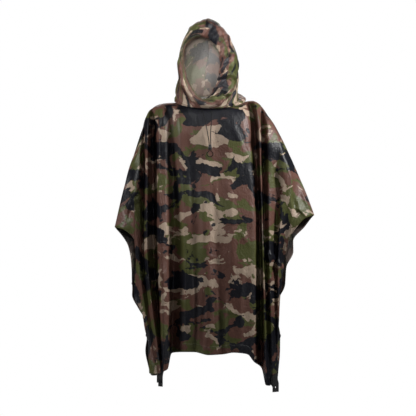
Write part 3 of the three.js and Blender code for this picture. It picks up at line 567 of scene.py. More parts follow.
def crease_height(places: np.ndarray, creases: tuple[Crease, ...]) -> np.ndarray:
    """Height of listed creases over a grid of flat places.

    A crease's height is its depth, times a bell curve of the distance from its bowed line over its width,
    times the root of a half sine wave along it, so that it fades at both ends.

    Args:
        places: The grid, shape (rows, columns, 2), in metres.
        creases: The creases, in the same places.

    Returns:
        The sum of their heights, shape (rows, columns).
    """
    total = np.zeros(places.shape[:2])
    for crease in creases:
        start, end = np.array(crease.start), np.array(crease.end)
        length = np.linalg.norm(end - start)
        along = (end - start) / length
        aside = np.array([-along[1], along[0]])
        t = np.clip((places - start) @ along / length, 0.0, 1.0)
        bowed = start + t[..., None] * (end - start) + (4 * crease.bow * t * (1 - t))[..., None] * aside
        off = np.linalg.norm(places - bowed, axis=-1)
        total += crease.depth * np.sqrt(np.sin(np.pi * t)) * np.exp(-((off / crease.width) ** 2))
    return total


def waves(along: np.ndarray, counts: tuple[float, ...], phases: tuple[float, ...]) -> np.ndarray:
    """Uneven waves: the mean of cosines of different counts over a share from 0 to 1."""
    return sum(np.cos(2 * np.pi * n * along + p) for n, p in zip(counts, phases)) / len(counts)


def puckers(along: np.ndarray, counts: tuple[int, ...], phases: tuple[float, ...]) -> np.ndarray:
    """Gathered cloth: the mean of rectified sine waves, round on their crests and sharp in their hollows,
    from -1 to 1, over a share from 0 to 1."""
    return sum(2 * np.abs(np.sin(np.pi * n * along + p)) - 1 for n, p in zip(counts, phases)) / len(counts)


def put_together(
    name: str,
    points: np.ndarray,
    faces: np.ndarray,
    layers: dict[str, np.ndarray],
    materials: list[bpy.types.Material],
) -> bpy.types.Object:
    """An object at the origin from points, four-cornered faces and a UV layer for each name.

    Args:
        name: The object's name.
        points: Shape (n, 3).
        faces: Point indices, shape (m, 4).
        layers: For each UV layer, the corners' places, shape (m, 4, 2).
        materials: Its material slots.

    Returns:
        The object, shaded smooth.
    """
    mesh = bpy.data.meshes.new(name)
    mesh.from_pydata(points.reshape(-1, 3), [], faces.tolist())
    for layer_name, places in layers.items():
        layer = mesh.uv_layers.new(name=layer_name)
        layer.uv.foreach_set("vector", places.reshape(-1).astype(np.float32))
    mesh.polygons.foreach_set("use_smooth", np.ones(len(faces), bool))
    for material in materials:
        mesh.materials.append(material)
    mesh.update()
    piece = bpy.data.objects.new(name, mesh)
    bpy.context.scene.collection.objects.link(piece)
    return piece


def grid_object(
    name: str,
    points: np.ndarray,
    layers: dict[str, np.ndarray],
    materials: list[bpy.types.Material],
    facing: int,
) -> bpy.types.Object:
    """An object from a grid of points. Where its UV layers have one column more, the grid closes on itself.

    Args:
        name: The object's name.
        points: Shape (rows, columns, 3).
        layers: UV places, shape (rows, columns or one more, 2).
        materials: Its material slots.
        facing: 1 where across by down points outwards, else -1.

    Returns:
        The object.
    """
    rows, columns = points.shape[:2]
    wide = next(iter(layers.values())).shape[1]
    index = np.arange(rows)[:, None] * columns + np.arange(wide)[None, :] % columns

    def corners(grid: np.ndarray) -> np.ndarray:
        """The four corners of each cell, in the order that makes it face outwards."""
        ring = [grid[:-1, :-1], grid[:-1, 1:], grid[1:, 1:], grid[1:, :-1]]
        order = ring if facing > 0 else ring[::-1]
        return np.stack(order, axis=2).reshape((-1, 4) + grid.shape[2:])

    return put_together(name, points, corners(index), {k: corners(v) for k, v in layers.items()}, materials)


def give_thickness(piece: bpy.types.Object, thickness: float) -> None:
    """Makes a surface a closed shell: a second face inside the first, in the second material, and its rim."""
    shell = piece.modifiers.new("thickness", "SOLIDIFY")
    shell.thickness = thickness
    shell.offset = -1.0
    shell.use_rim = True
    shell.material_offset = 1
    shell.material_offset_rim = 0


@dataclass(frozen=True)
class Seat:
    """A place that a round fitting stands on: its middle and the direction that it faces."""

    middle: np.ndarray
    outward: np.ndarray

    def axes(self) -> np.ndarray:
        """Three unit rows: two across the seat and its outward direction."""
        helper = np.array([0.0, 0.0, 1.0]) if abs(self.outward[2]) < 0.9 else np.array([0.0, 1.0, 0.0])
        side = np.cross(helper, self.outward)
        side /= np.linalg.norm(side)
        return np.stack([side, np.cross(self.outward, side), self.outward])


def seat_of(node: bpy.types.Object) -> Seat:
    """Reads a round fitting's seat from its solid: the middle of its points, and the axis in which they vary
    least, turned to where they lie nearer the axis, which is the domed side.

    Args:
        node: The solid's object.

    Returns:
        Its seat.
    """
    flat = np.zeros(len(node.data.vertices) * 3, np.float32)
    node.data.vertices.foreach_get("co", flat)
    points = np.unique(np.round(flat.reshape(-1, 3).astype(float), 6), axis=0)
    middle = (points.min(axis=0) + points.max(axis=0)) / 2
    spread = points - points.mean(axis=0)
    axis = np.linalg.svd(spread, full_matrices=False)[2][-1]
    height = spread @ axis
    radius = np.linalg.norm(spread - height[:, None] * axis, axis=1)
    outward = -axis if np.sum(height * radius) > 0 else axis
    return Seat(middle, outward)


def turned(profile: np.ndarray, seat: Seat, sides: int) -> tuple[np.ndarray, np.ndarray]:
    """A profile of (radius, height) rows turned about a seat's axis.

    Args:
        profile: Shape (n, 2).
        seat: The seat.
        sides: Steps round the axis.

    Returns:
        The grid of points, shape (n, sides, 3), and its UV places in metres, shape (n, sides + 1, 2).
    """
    turns = np.linspace(0, 2 * np.pi, sides, endpoint=False)
    ring = np.stack([np.cos(turns), np.sin(turns), np.zeros(sides)], axis=-1)
    local = profile[:, None, :1] * ring[None]
    local[..., 2] += profile[:, 1:]
    points = seat.middle + local @ seat.axes()
    along = np.concatenate([[0.0], np.cumsum(np.linalg.norm(np.diff(profile, axis=0), axis=1))])
    around = np.linspace(0, 2 * np.pi * profile[:, 0].max(), sides + 1)
    places = np.stack(np.broadcast_arrays(around[None, :], along[:, None]), axis=-1)
    return points, places


def lathe_object(
    name: str, profile: np.ndarray, seat: Seat, sides: int, material: bpy.types.Material
) -> bpy.types.Object:
    """A turned fitting as a closed object, its doubles merged and its faces turned outwards.

    Args:
        name: The object's name.
        profile: Rows of (radius, height).
        seat: Where it stands.
        sides: Steps round the axis.
        material: Its finish.

    Returns:
        The object.
    """
    points, places = turned(profile, seat, sides)
    piece = grid_object(name, points, {"around": places}, [material], 1)
    shape = bmesh.new()
    shape.from_mesh(piece.data)
    bmesh.ops.remove_doubles(shape, verts=shape.verts, dist=1e-6)
    bmesh.ops.recalc_face_normals(shape, faces=shape.faces)
    shape.to_mesh(piece.data)
    shape.free()
    return piece


def linear(red: int, green: int, blue: int) -> tuple[float, float, float, float]:
    """A screen colour from 0 to 255 as a shader's colour: each share to the power 2.2."""
    return tuple((c / 255) ** 2.2 for c in (red, green, blue)) + (1.0,)


class Finish:
    """A material under construction: short calls that add a node and return its socket."""

    def __init__(self, name: str) -> None:
        """Starts a material whose only node is its shader.

        Args:
            name: The material's name.
        """
        self.material = bpy.data.materials.new(name)
        self.material.use_nodes = True
        self.nodes = self.material.node_tree.nodes
        self.links = self.material.node_tree.links
        self.shader = self.nodes["Principled BSDF"]

    def wire(self, socket: bpy.types.NodeSocket, value: object) -> None:
        """Links a socket to another node's output, or sets it to a plain value."""
        if isinstance(value, bpy.types.NodeSocket):
            self.links.new(value, socket)
        else:
            socket.default_value = value

    def layer(self, name: str) -> bpy.types.NodeSocket:
        """The places of a UV layer, in metres."""
        node = self.nodes.new("ShaderNodeUVMap")
        node.uv_map = name
        return node.outputs["UV"]

    def object_place(self) -> bpy.types.NodeSocket:
        """The object's own coordinates, in metres."""
        return self.nodes.new("ShaderNodeTexCoord").outputs["Object"]

    def maths(self, operation: str, *values: object) -> bpy.types.NodeSocket:
        """A Math node's result."""
        node = self.nodes.new("ShaderNodeMath")
        node.operation = operation
        for socket, value in zip(node.inputs, values):
            self.wire(socket, value)
        return node.outputs[0]

    def vector_maths(self, operation: str, *values: object) -> bpy.types.NodeSocket:
        """A Vector Math node's result."""
        node = self.nodes.new("ShaderNodeVectorMath")
        node.operation = operation
        for socket, value in zip(node.inputs, values):
            self.wire(socket, value)
        return node.outputs[0]

    def parts_of(self, vector: bpy.types.NodeSocket) -> tuple[bpy.types.NodeSocket, bpy.types.NodeSocket]:
        """The X and Y of a vector."""
        node = self.nodes.new("ShaderNodeSeparateXYZ")
        self.wire(node.inputs[0], vector)
        return node.outputs["X"], node.outputs["Y"]

    def stretched(self, place: bpy.types.NodeSocket, scale: Point, shift: Point) -> bpy.types.NodeSocket:
        """Places times a scale, plus a shift."""
        return self.vector_maths("ADD", self.vector_maths("MULTIPLY", place, scale), shift)

    def noise(
        self,
        place: bpy.types.NodeSocket,
        scale: float,
        detail: float,
        roughness: float = 0.5,
        distortion: float = 0.0,
        colour: bool = False,
    ) -> bpy.types.NodeSocket:
        """A Noise texture's value, or its three-part colour."""
        node = self.nodes.new("ShaderNodeTexNoise")
        self.wire(node.inputs["Vector"], place)
        node.inputs["Scale"].default_value = scale
        node.inputs["Detail"].default_value = detail
        node.inputs["Roughness"].default_value = roughness
        node.inputs["Distortion"].default_value = distortion
        return node.outputs["Color" if colour else "Fac"]

    def ramp(
        self, value: object, low: float, high: float, to_low: float = 0.0, to_high: float = 1.0
    ) -> bpy.types.NodeSocket:
        """A value's range from low to high moved to another, smooth at both ends and held outside it."""
        node = self.nodes.new("ShaderNodeMapRange")
        node.interpolation_type = "SMOOTHSTEP"
        for name, number in (("From Min", low), ("From Max", high), ("To Min", to_low), ("To Max", to_high)):
            node.inputs[name].default_value = number
        self.wire(node.inputs["Value"], value)
        return node.outputs["Result"]

    def blend(self, share: object, under: object, over: object) -> bpy.types.NodeSocket:
        """Two colours mixed by a share."""
        node = self.nodes.new("ShaderNodeMix")
        node.data_type = "RGBA"
        sockets = {socket.identifier: socket for socket in (*node.inputs, *node.outputs)}
        self.wire(sockets["Factor_Float"], share)
        self.wire(sockets["A_Color"], under)
        self.wire(sockets["B_Color"], over)
        return sockets["Result_Color"]

    def band(self, value: object, middle: float, half: float) -> bpy.types.NodeSocket:
        """1 where a value is near a middle, falling to 0 at half a width off, by a ramp of the distance."""
        off = self.maths("ABSOLUTE", self.maths("SUBTRACT", value, middle))
        return self.ramp(off, half * 0.5, half, 1.0, 0.0)

    def bump(self, height: object, distance: float, under: bpy.types.NodeSocket | None = None) -> object:
        """A normal bumped by a height that is given as a share of a distance in metres."""
        node = self.nodes.new("ShaderNodeBump")
        node.inputs["Distance"].default_value = distance
        self.wire(node.inputs["Height"], height)
        if under is not None:
            self.wire(node.inputs["Normal"], under)
        return node.outputs["Normal"]

    def finished(self, **shader: object) -> bpy.types.Material:
        """Sets the shader's sockets, named with low lines for spaces, and returns the material."""
        for name, value in shader.items():
            self.wire(self.shader.inputs[name.replace("_", " ")], value)
        return self.material


@dataclass(frozen=True)
class Blotch:
    """One colour of the camouflage, laid where stretched noise lies over a level.

    across and down are how many of its cells lie in a metre, and ragged is how far its edge wanders.
    """

    colour: tuple[int, int, int]
    across: float
    down: float
    level: float
    shift: Point
    ragged: float


@dataclass(frozen=True)
class Camouflage:
    """Woodland cloth: a brown ground with green, tan and charcoal blotches, longer across than down."""

    ground: tuple[int, int, int] = (99, 70, 61)
    blotches: tuple[Blotch, ...] = (
        Blotch((80, 82, 48), 8.0, 11.0, 0.515, (3.1, 7.4, 0.2), 0.09),
        Blotch((166, 147, 129), 10.0, 14.0, 0.578, (16.4, 8.3, 6.7), 0.10),
        Blotch((19, 20, 27), 8.5, 12.0, 0.548, (28.6, 10.75, 3.3), 0.13),
    )
    wander: float = 0.05
    edge: float = 0.007

    def colour(self, finish: Finish, place: bpy.types.NodeSocket) -> bpy.types.NodeSocket:
        """The print's colour at places in metres.

        The places are first moved by slow noise, so that blotches bend. Each blotch is noise on its own
        stretched places plus a little fine noise, cut off sharply at its level.

        Args:
            finish: The material that the nodes go into.
            place: The places.

        Returns:
            The colour socket.
        """
        slow = finish.noise(place, 13.0, 3.0, 0.6, colour=True)
        centred = finish.vector_maths("SUBTRACT", slow, (0.5, 0.5, 0.5))
        moved = finish.vector_maths("MULTIPLY", centred, (self.wander,) * 3)
        bent = finish.vector_maths("ADD", place, moved)
        fine = finish.noise(bent, 42.0, 3.0, 0.6)
        colour = linear(*self.ground)
        for blotch in self.blotches:
            cells = finish.stretched(bent, (blotch.across, blotch.down, 1.0), blotch.shift)
            body = finish.noise(cells, 1.0, 3.0, 0.5, 0.5)
            ragged = finish.maths("MULTIPLY_ADD", fine, blotch.ragged, body)
            level = blotch.level + blotch.ragged / 2
            share = finish.ramp(ragged, level - self.edge, level + self.edge)
            colour = finish.blend(share, colour, linear(*blotch.colour))
        return colour


def rows_of(table: tuple[tuple[float, ...], ...], *columns: int) -> np.ndarray:
    """Chosen columns of a table, shape (rows, columns)."""
    return np.array(table, float)[:, list(columns)]


@dataclass(frozen=True)
class Panel:
    """The front or back panel: a surface on two shares, across from the viewer's left and down to the hem.

    Its folds stand from the viewer's left to right, with as many columns of points between two of them.
    """

    name: str
    side: Side
    folds: tuple[Fold, ...]
    columns_per_fold: int
    creases: tuple[Crease, ...]

    def neck_point(self, x: np.ndarray) -> np.ndarray:
        """Points of the neck seam at places x within its half width, shape (n, 3)."""
        back = self.side is Side.BACK
        depth = NECK_BACK if back else NECK_FRONT
        end_z = NECK_BACK_Z if back else NECK_FRONT_Z
        share = np.sqrt(1 - np.clip(x / NECK_HALF_WIDTH, -1, 1) ** 2)
        z = NECK_SIDE_Z + (end_z - NECK_SIDE_Z) * share
        return np.stack([x, self.side.value * depth * share, z], axis=-1)

    def fold_lines(self, down: np.ndarray) -> np.ndarray:
        """Each fold's line: a quarter oval over the shoulder, then monotone curves in x and y as z falls.

        Args:
            down: Shares down the panel.

        Returns:
            Points, shape (folds, shares, 3).
        """
        start = np.array([fold.top for fold in self.folds])
        heights = ("bust", "waist", "hem")
        bust, waist, hem = (np.array([getattr(fold, at) for fold in self.folds]) for at in heights)
        crest = smooth_through(rows_of(SHOULDER_LINE, 0)[:, 0], rows_of(SHOULDER_LINE, 1, 2), start)
        crest = np.concatenate([start[:, None], crest], axis=1)
        top = np.where(np.abs(start)[:, None] <= NECK_HALF_WIDTH, self.neck_point(start), crest)
        turn = np.minimum(down / BUST, 1) * np.pi / 2
        over_x = top[:, :1] + (bust[:, :1] - top[:, :1]) * np.sin(turn)
        over_y = top[:, 1:2] + (bust[:, 1:] - top[:, 1:2]) * np.sin(turn)
        drop = hem[:, 2:] - top[:, 2:]
        z = top[:, 2:] + drop * np.where(down < BUST, BUST * (1 - np.cos(turn)), down)
        places = np.stack([bust[:, 0], waist[:, 0], hem[:, 0]])
        hang_x = smooth_through(np.array([BUST, WAIST, 1]), places, down)
        depths = np.stack([bust[:, 1], bust[:, 1], waist[:, 1], hem[:, 1]])
        hang_y = smooth_through(np.array([0, BUST, WAIST, 1]), depths, down)
        x = np.where(down < BUST, over_x, hang_x.T)
        y = np.where(down < BUST, over_y, hang_y.T)
        return np.stack([x, y, z], axis=-1)

    def edge_line(self, table: tuple[tuple[float, ...], ...], down: np.ndarray) -> np.ndarray:
        """A side edge's line, smooth through its rows at even shares of its length, shape (1, shares, 3)."""
        x, y = (2, 4) if self.side is Side.BACK else (1, 3)
        points = rows_of(table, x, y, 0)
        reach = np.concatenate([[0.0], np.cumsum(np.linalg.norm(np.diff(points, axis=0), axis=1))])
        return smooth_through(reach / reach[-1], points, down)[None]

    def surface(self, across: np.ndarray, down: np.ndarray) -> np.ndarray:
        """The panel's outer face: at each share down, a monotone curve across its edges and folds.

        Args:
            across: Shares across.
            down: Shares down.

        Returns:
            Points, shape (down, across, 3).
        """
        lines = [self.edge_line(LEFT_EDGE, down), self.fold_lines(down), self.edge_line(RIGHT_EDGE, down)]
        lines = np.concatenate(lines)
        points = smooth_through(np.linspace(0, 1, len(lines)), lines, across).transpose(1, 0, 2)
        return points + [0, self.side.value * SEAM_GAP / 2, 0]

    def make(self, materials: list[bpy.types.Material]) -> bpy.types.Object:
        """The panel as a closed shell with its creases.

        Args:
            materials: The outer and the inner finish.

        Returns:
            The piece.
        """
        across = np.linspace(0, 1, (len(self.folds) + 1) * self.columns_per_fold + 1)
        over = np.linspace(0, BUST, SHOULDER_ROWS, endpoint=False)
        down = np.concatenate([over, np.linspace(BUST, 1, HANGING_ROWS)])
        points = self.surface(across, down)
        facing = self.side.value
        normals = grid_normals(points, facing)
        shaped = crease_height(points[..., [0, 2]], self.creases)
        shaped += RUMPLE * rumple(points, self.side.value)
        from_seam = np.clip(down / SEAM_FADE, 0, 1)[:, None]
        height = shaped * from_seam
        for patch in CORNER_PATCHES:
            if patch.side is self.side:
                height += patch.press(across, down)
        points = raised(points, normals, height)
        layers = {"cut": self.cut_places(points), "rim": rim_places(points)}
        piece = grid_object(self.name, points, layers, materials, facing)
        give_thickness(piece, CLOTH_THICKNESS)
        return piece

    def cut_places(self, points: np.ndarray) -> np.ndarray:
        """Where each point takes its print from, in metres: across, a share of its column's mean length from
        the middle column and the rest of x; down, its drop plus its row's mean further length. The back's are
        below zero."""
        across, down = travelled(points, 1), travelled(points, 0)
        middle = across.shape[1] // 2
        travel = np.mean(across - across[:, middle : middle + 1], axis=0)
        further = np.mean(down + points[..., 2] - points[:1, :, 2], axis=1, keepdims=True)
        eased = ARC_SHARE * travel + (1 - ARC_SHARE) * points[..., 0]
        return np.stack([eased, -self.side.value * (further - points[..., 2])], axis=-1)


def rim_places(points: np.ndarray) -> np.ndarray:
    """The length along the nearest open edge, and the distance from it: from either side edge or the hem."""
    across, down = travelled(points, 1), travelled(points, 0)
    from_side = np.minimum(across, across[:, -1:] - across)
    from_hem = down[-1:] - down
    along = np.where(from_side < from_hem, down, across)
    return np.stack([along, np.minimum(np.minimum(from_side, from_hem), RIM_REACH)], axis=-1)


def rumple(points: np.ndarray, seed: float) -> np.ndarray:
    """Uneven soft rumpling of thin cloth: a mean of plane waves, each bent by a slower one, in x, y and z."""
    x, y, z = np.moveaxis(points, -1, 0)
    slow = np.sin(9 * x + 5 * z + seed) + np.sin(7 * z - 11 * x + 2 * seed)
    first = np.sin(41 * x + 12 * z + 1.7 * slow + seed)
    second = np.sin(29 * z - 23 * x + 2.1 * slow + 17 * y)
    third = np.sin(63 * z + 37 * x + 1.3 * slow + 2.6)
    return (first + second + 0.6 * third) / 2.6


@dataclass(frozen=True)
class CornerPatch:
    """Where a corner's webbing patch covers its panel, and the face that it lies on: 1 outside, -1 inside."""

    side: Side
    start: float
    end: float
    face: int

    def press(self, across: np.ndarray, down: np.ndarray) -> np.ndarray:
        """Height that presses the cloth away from the patch, fading round it, shape (down, across)."""
        after_start = np.clip((across - self.start + PATCH_FADE) / PATCH_FADE, 0, 1)
        before_end = np.clip((self.end + PATCH_FADE - across) / PATCH_FADE, 0, 1)
        low = np.clip((down - PATCH_TOP + PATCH_FADE) / PATCH_FADE, 0, 1)
        return -self.face * PATCH_PRESS * low[:, None] * (after_start * before_end)[None, :]


CORNER_PATCHES = (
    CornerPatch(Side.FRONT, 0.085, 0.245, -1),
    CornerPatch(Side.FRONT, 0.775, 0.9, 1),
    CornerPatch(Side.BACK, 0.135, 0.185, 1),
    CornerPatch(Side.BACK, 0.862, 0.938, 1),
)


@dataclass(frozen=True)
class Gather:
    """Where the brim is gathered more: a share of the way round, how far it fades, and how much it adds."""

    middle: float
    width: float
    strength: float

    def strength_at(self, shares: np.ndarray) -> np.ndarray:
        """A bell curve of the distance from its middle, times its strength."""
        return self.strength * np.exp(-(((shares - self.middle) / self.width) ** 2))


@dataclass(frozen=True)
class Hood:
    """The hood, from the face opening over the crown and down to the neck seam, on rings and shares round.

    The gathers add to an even one. They fade from rim_middle within rim_width, and drift sideways from ring
    to ring. Its cloth hangs freely from the ring free_from on.
    """

    even_gather: float = 0.4
    gathers: tuple[Gather, ...] = (Gather(0.13, 0.14, 0.9), Gather(0.33, 0.09, 1.5))
    rim_middle: float = 1.3
    rim_width: float = 1.7
    drift: float = 0.012
    drift_pitch: float = 1.1
    free_from: float = 2.4

    def rings(self, shares: np.ndarray) -> np.ndarray:
        """Every ring's points at shares of the way round, from its high point and by the right side.

        A ring of the hood is an oval that leans and narrows upwards or downwards. A ring that turns in to the
        neck seam is the seam's own oval moved out and up.

        Args:
            shares: Shares round, shape (n,).

        Returns:
            Points, shape (rings, n, 3).
        """
        hood = np.array([[getattr(r, f) for f in HoodRing.__dataclass_fields__] for r in HOOD_RINGS])
        low_y, low_z, high_y, high_z, half_width, middle_x, lean, egg = hood.T[:, :, None]
        up, side = np.cos(2 * np.pi * shares), np.sin(2 * np.pi * shares)
        x = middle_x + lean / 2 * up + half_width * side * (1 - egg * up)
        y = (low_y + high_y) / 2 + (high_y - low_y) / 2 * up
        z = (low_z + high_z) / 2 + (high_z - low_z) / 2 * up
        upper = np.stack([x, y, z], axis=-1)
        angle = np.pi / 2 - 2 * np.pi * shares
        behind = np.sin(angle) > 0
        share = np.abs(np.sin(angle))
        depth = np.where(behind, NECK_BACK, NECK_FRONT)
        end_z = np.where(behind, NECK_BACK_Z, NECK_FRONT_Z)
        seam_z = NECK_SIDE_Z + (end_z - NECK_SIDE_Z) * share
        seam = np.stack([NECK_HALF_WIDTH * np.cos(angle), depth * np.sin(angle), seam_z], axis=-1)
        turn = np.array([[getattr(r, f) for f in NeckTurn.__dataclass_fields__] for r in NECK_TURNS])
        out, rise, throat_out, throat_rise, gathers = turn.T[:, :, None]
        throat = np.maximum(-np.sin(angle), 0)
        gather = NECK_GATHER * gathers * waves(shares, (18, 11, 27), (0.0, 1.1, 2.3))
        reach = out + (throat_out - out) * throat + gather * (1 - throat)
        lift = rise + (throat_rise - rise) * throat
        lower = seam + np.stack([reach * np.cos(angle), reach * np.sin(angle), lift], axis=-1)
        return np.concatenate([upper, lower])

    def surface(self, shares: np.ndarray, down: np.ndarray) -> np.ndarray:
        """The hood's outer face: a monotone curve through the rings at each share round, with its gathers.

        Args:
            shares: Shares round.
            down: Places in ring numbers, from 0 at the face opening.

        Returns:
            Points, shape (down, shares, 3).
        """
        rings = self.rings(shares)
        points = smooth_through(np.arange(len(rings), dtype=float), rings, down)
        normals = grid_normals(points, 1)
        strength = self.even_gather + sum(gather.strength_at(shares) for gather in self.gathers)
        fall = np.exp(-(((down - self.rim_middle) / self.rim_width) ** 2))[:, None]
        drifted = shares[None, :] + self.drift * np.sin(self.drift_pitch * down)[:, None]
        tied = RIM_GATHER * strength[None, :] * fall * puckers(drifted, (17, 29, 11), (0.4, 2.0, 1.2))
        hanging = np.clip((down - self.free_from) / 3, 0, 1)
        above_turn = np.clip((len(rings) - 4 - down) / 2, 0, 1)
        soft = HOOD_RUMPLE * (hanging * above_turn)[:, None] * rumple(points, 3.0)
        turn = (shares + 0.5) % 1.0 - 0.5
        around, below = np.meshgrid(turn * HOOD_GIRTH, down * RING_PITCH)
        folds = crease_height(np.stack([around, below], axis=-1), HOOD_CREASES)
        return raised(points, normals, tied + soft + folds)

    def make(
        self,
        name: str,
        shares: np.ndarray,
        down: np.ndarray,
        wraps: bool,
        materials: list[bpy.types.Material],
    ) -> bpy.types.Object:
        """One piece of the hood as a closed shell.

        Args:
            name: The piece's name.
            shares: Shares round. Where the piece wraps, the last is the first again.
            down: Places in ring numbers.
            wraps: Whether it is closed all round.
            materials: The outer and the inner finish.

        Returns:
            The piece.
        """
        points = self.surface(shares, down)
        around, below = travelled(points, 1), travelled(points, 0)
        cut = np.stack([around + shares[0], below + down[0] / RINGS_IN_PRINT], axis=-1) + HOOD_PRINT_SHIFT
        rim = np.stack([around, np.minimum(below, RIM_REACH)], axis=-1)
        if wraps:
            points = points[:, :-1]
        piece = grid_object(name, points, {"cut": cut, "rim": rim}, materials, 1)
        give_thickness(piece, CLOTH_THICKNESS)
        return piece


class Drawcord:
    """The hood's cord: one line from the left throat ring, through the lock, round its loop and up again."""

    def __init__(self) -> None:
        """Works out the cord's line from its given points."""
        self.line = through_points(CORD_LEFT + CORD_LOOP + tuple(reversed(CORD_RIGHT)), CORD_STEPS)

    def length(self) -> float:
        """The line's length."""
        return float(np.linalg.norm(np.diff(self.line, axis=0), axis=1).sum())

    def make(self, finish: bpy.types.Material) -> bpy.types.Object:
        """The cord as a round bevelled curve, standing for its three solids."""
        curve = bpy.data.curves.new("drawcord", "CURVE")
        curve.dimensions = "3D"
        curve.bevel_depth = CORD_DIAMETER / 2
        curve.bevel_resolution = 4
        curve.use_fill_caps = True
        spline = curve.splines.new("POLY")
        spline.points.add(len(self.line) - 1)
        places = np.concatenate([self.line, np.ones((len(self.line), 1))], axis=1)
        spline.points.foreach_set("co", places.reshape(-1).astype(np.float32))
        curve.materials.append(finish)
        piece = bpy.data.objects.new("drawcord", curve)
        bpy.context.scene.collection.objects.link(piece)
        LOG.info("%s stands for its two strands and their loop", piece.name)
        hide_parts("drawcord_left", "drawcord_loop", "drawcord_right")
        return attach(piece, BODY)


def stand_in(piece: bpy.types.Object, node: str) -> bpy.types.Object:
    """Makes a piece ride with the garment and stand for its solid, which it hides."""
    LOG.info("%s stands for %s", piece.name, node)
    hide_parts(node)
    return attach(piece, BODY)


def fitting_profile(rows: tuple[tuple[float, float], ...]) -> np.ndarray:
    """Rows of (radius, height) in millimetres as metres."""
    return np.array(rows, float) / 1000


def make_fittings(
    nodes: dict[str, bpy.types.Object], metal: bpy.types.Material, plastic: bpy.types.Material
) -> None:
    """The studs, the eyelets and the cord lock, each turned finely on its own solid's seat.

    Args:
        nodes: The solids by name.
        metal: The finish of the studs and eyelets.
        plastic: The finish of the lock.
    """
    half = fitting_profile(EYELET_HALF)
    middle = EYELET_HEIGHT / 2
    eyelet = np.concatenate([half, half[::-1] * [1, -1]]) + [0, middle]
    stud, ring = fitting_profile(STUD_PROFILE), fitting_profile(RING_PROFILE)
    shapes = {"stud": stud, "eyelet": eyelet, "cord_eyelet": ring}
    for name, node in nodes.items():
        for kind, profile in shapes.items():
            if name.startswith(kind + "_"):
                piece = lathe_object(name + "_fine", profile, seat_of(node), ROUND_SIDES, metal)
                stand_in(piece, name)
    low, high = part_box("cord_lock")
    seat = Seat(np.array([(low.x + high.x) / 2, (low.y + high.y) / 2, low.z]), np.array([0.0, 0.0, 1.0]))
    lock = lathe_object("cord_lock_fine", fitting_profile(LOCK_PROFILE), seat, ROUND_SIDES, plastic)
    stand_in(lock, "cord_lock")


@dataclass(frozen=True)
class ClothFinish:
    """The camouflage cloth: thin, coated and slightly glossy, with a stitched double hem.

    reverse is how far the print fades to the pale coating, as on the inner face, and crumpled is the height
    of its crumpling in metres.
    """

    name: str
    reverse: float
    crumpled: float
    gloss_roughness: float = 0.45
    gloss_level: float = 0.32
    grain_height: float = 0.0012
    hem_edge: float = 0.001
    thread_share: float = 0.8

    def make(self) -> bpy.types.Material:
        """The material: the print, a dashed line of thread near open edges, and the crumples and hem."""
        finish = Finish(self.name)
        place = finish.layer("cut")
        colour = Camouflage().colour(finish, place)
        colour = finish.blend(self.reverse, colour, linear(*COATING))
        along, distance = finish.parts_of(finish.layer("rim"))
        pitch = finish.maths("PINGPONG", along, STITCH_PITCH)
        dash = finish.ramp(pitch, STITCH_PITCH * 0.3, STITCH_PITCH * 0.4)
        stitch = finish.maths("MULTIPLY", finish.band(distance, STITCH_INSET, STITCH_WIDTH), dash)
        thread = finish.maths("MULTIPLY", stitch, self.thread_share)
        colour = finish.blend(thread, colour, linear(*THREAD))
        upright = finish.stretched(place, (1.5, 0.7, 1.0), (0.0, 0.0, 0.0))
        crumple = finish.noise(upright, 30.0, 3.0, 0.55, 0.6)
        fine = finish.noise(place, 120.0, 2.0, 0.5)
        normal = finish.bump(crumple, self.crumpled)
        normal = finish.bump(fine, self.grain_height, normal)
        hem = finish.ramp(distance, HEM_WIDTH - self.hem_edge, HEM_WIDTH + self.hem_edge, 1.0, 0.0)
        normal = finish.bump(finish.maths("SUBTRACT", hem, stitch), HEM_STEP, normal)
        gloss = {"Roughness": self.gloss_roughness, "Specular_IOR_Level": self.gloss_level}
        return finish.finished(Base_Color=colour, Normal=normal, **gloss)


@dataclass(frozen=True)
class PlainFinish:
    """A plain finish with a fine grain: noise in the object's own places, as bump and a change of colour.

    grain is its cells in a metre, height is in metres, and darkest is the colour's share in its hollows,
    where the colour is partly the grain's own tone and partly painted shade.
    """

    name: str
    colour: tuple[int, int, int]
    roughness: float
    grain: float
    height: float
    metallic: float = 0.0
    darkest: float = 0.6

    def make(self) -> bpy.types.Material:
        """The material."""
        finish = Finish(self.name)
        noise = finish.noise(finish.object_place(), self.grain, 2.0)
        shade = linear(*self.colour)
        # The colour darkens where the bump is low: partly random grain tone, partly painted shade in the
        # grain's hollows.
        darker = tuple(c * self.darkest for c in shade[:3]) + (1.0,)
        grain_tone_and_painted_shade = finish.blend(noise, darker, shade)
        gloss = {"Roughness": self.roughness, "Metallic": self.metallic}
        return finish.finished(Base_Color=grain_tone_and_painted_shade, Normal=finish.bump(noise, self.height), **gloss)


def make_camera() -> None:
    """A level camera in front of the garment, far off so that it hardly tapers."""
    lens = bpy.data.cameras.new("camera")
    lens.sensor_width = SENSOR
    lens.lens = SENSOR * CAMERA_DISTANCE / VIEW_WIDTH
    lens.clip_end = 100.0
    camera = bpy.data.objects.new("camera", lens)
    camera.location = (VIEW_MIDDLE_X, -CAMERA_DISTANCE, VIEW_MIDDLE_Z)
    camera.rotation_euler = (math.pi / 2, 0, 0)
    bpy.context.scene.collection.objects.link(camera)
    bpy.context.scene.camera = camera


@dataclass(frozen=True)
class Lamp:
    """A soft area light: its width in metres, its power in watts, where it stands and aims, and its full
    angle of spread in degrees."""

    name: str
    size: float
    power: float
    place: Point
    aim: Point = (0.0, 0.0, -0.4)
    spread: float = 180.0


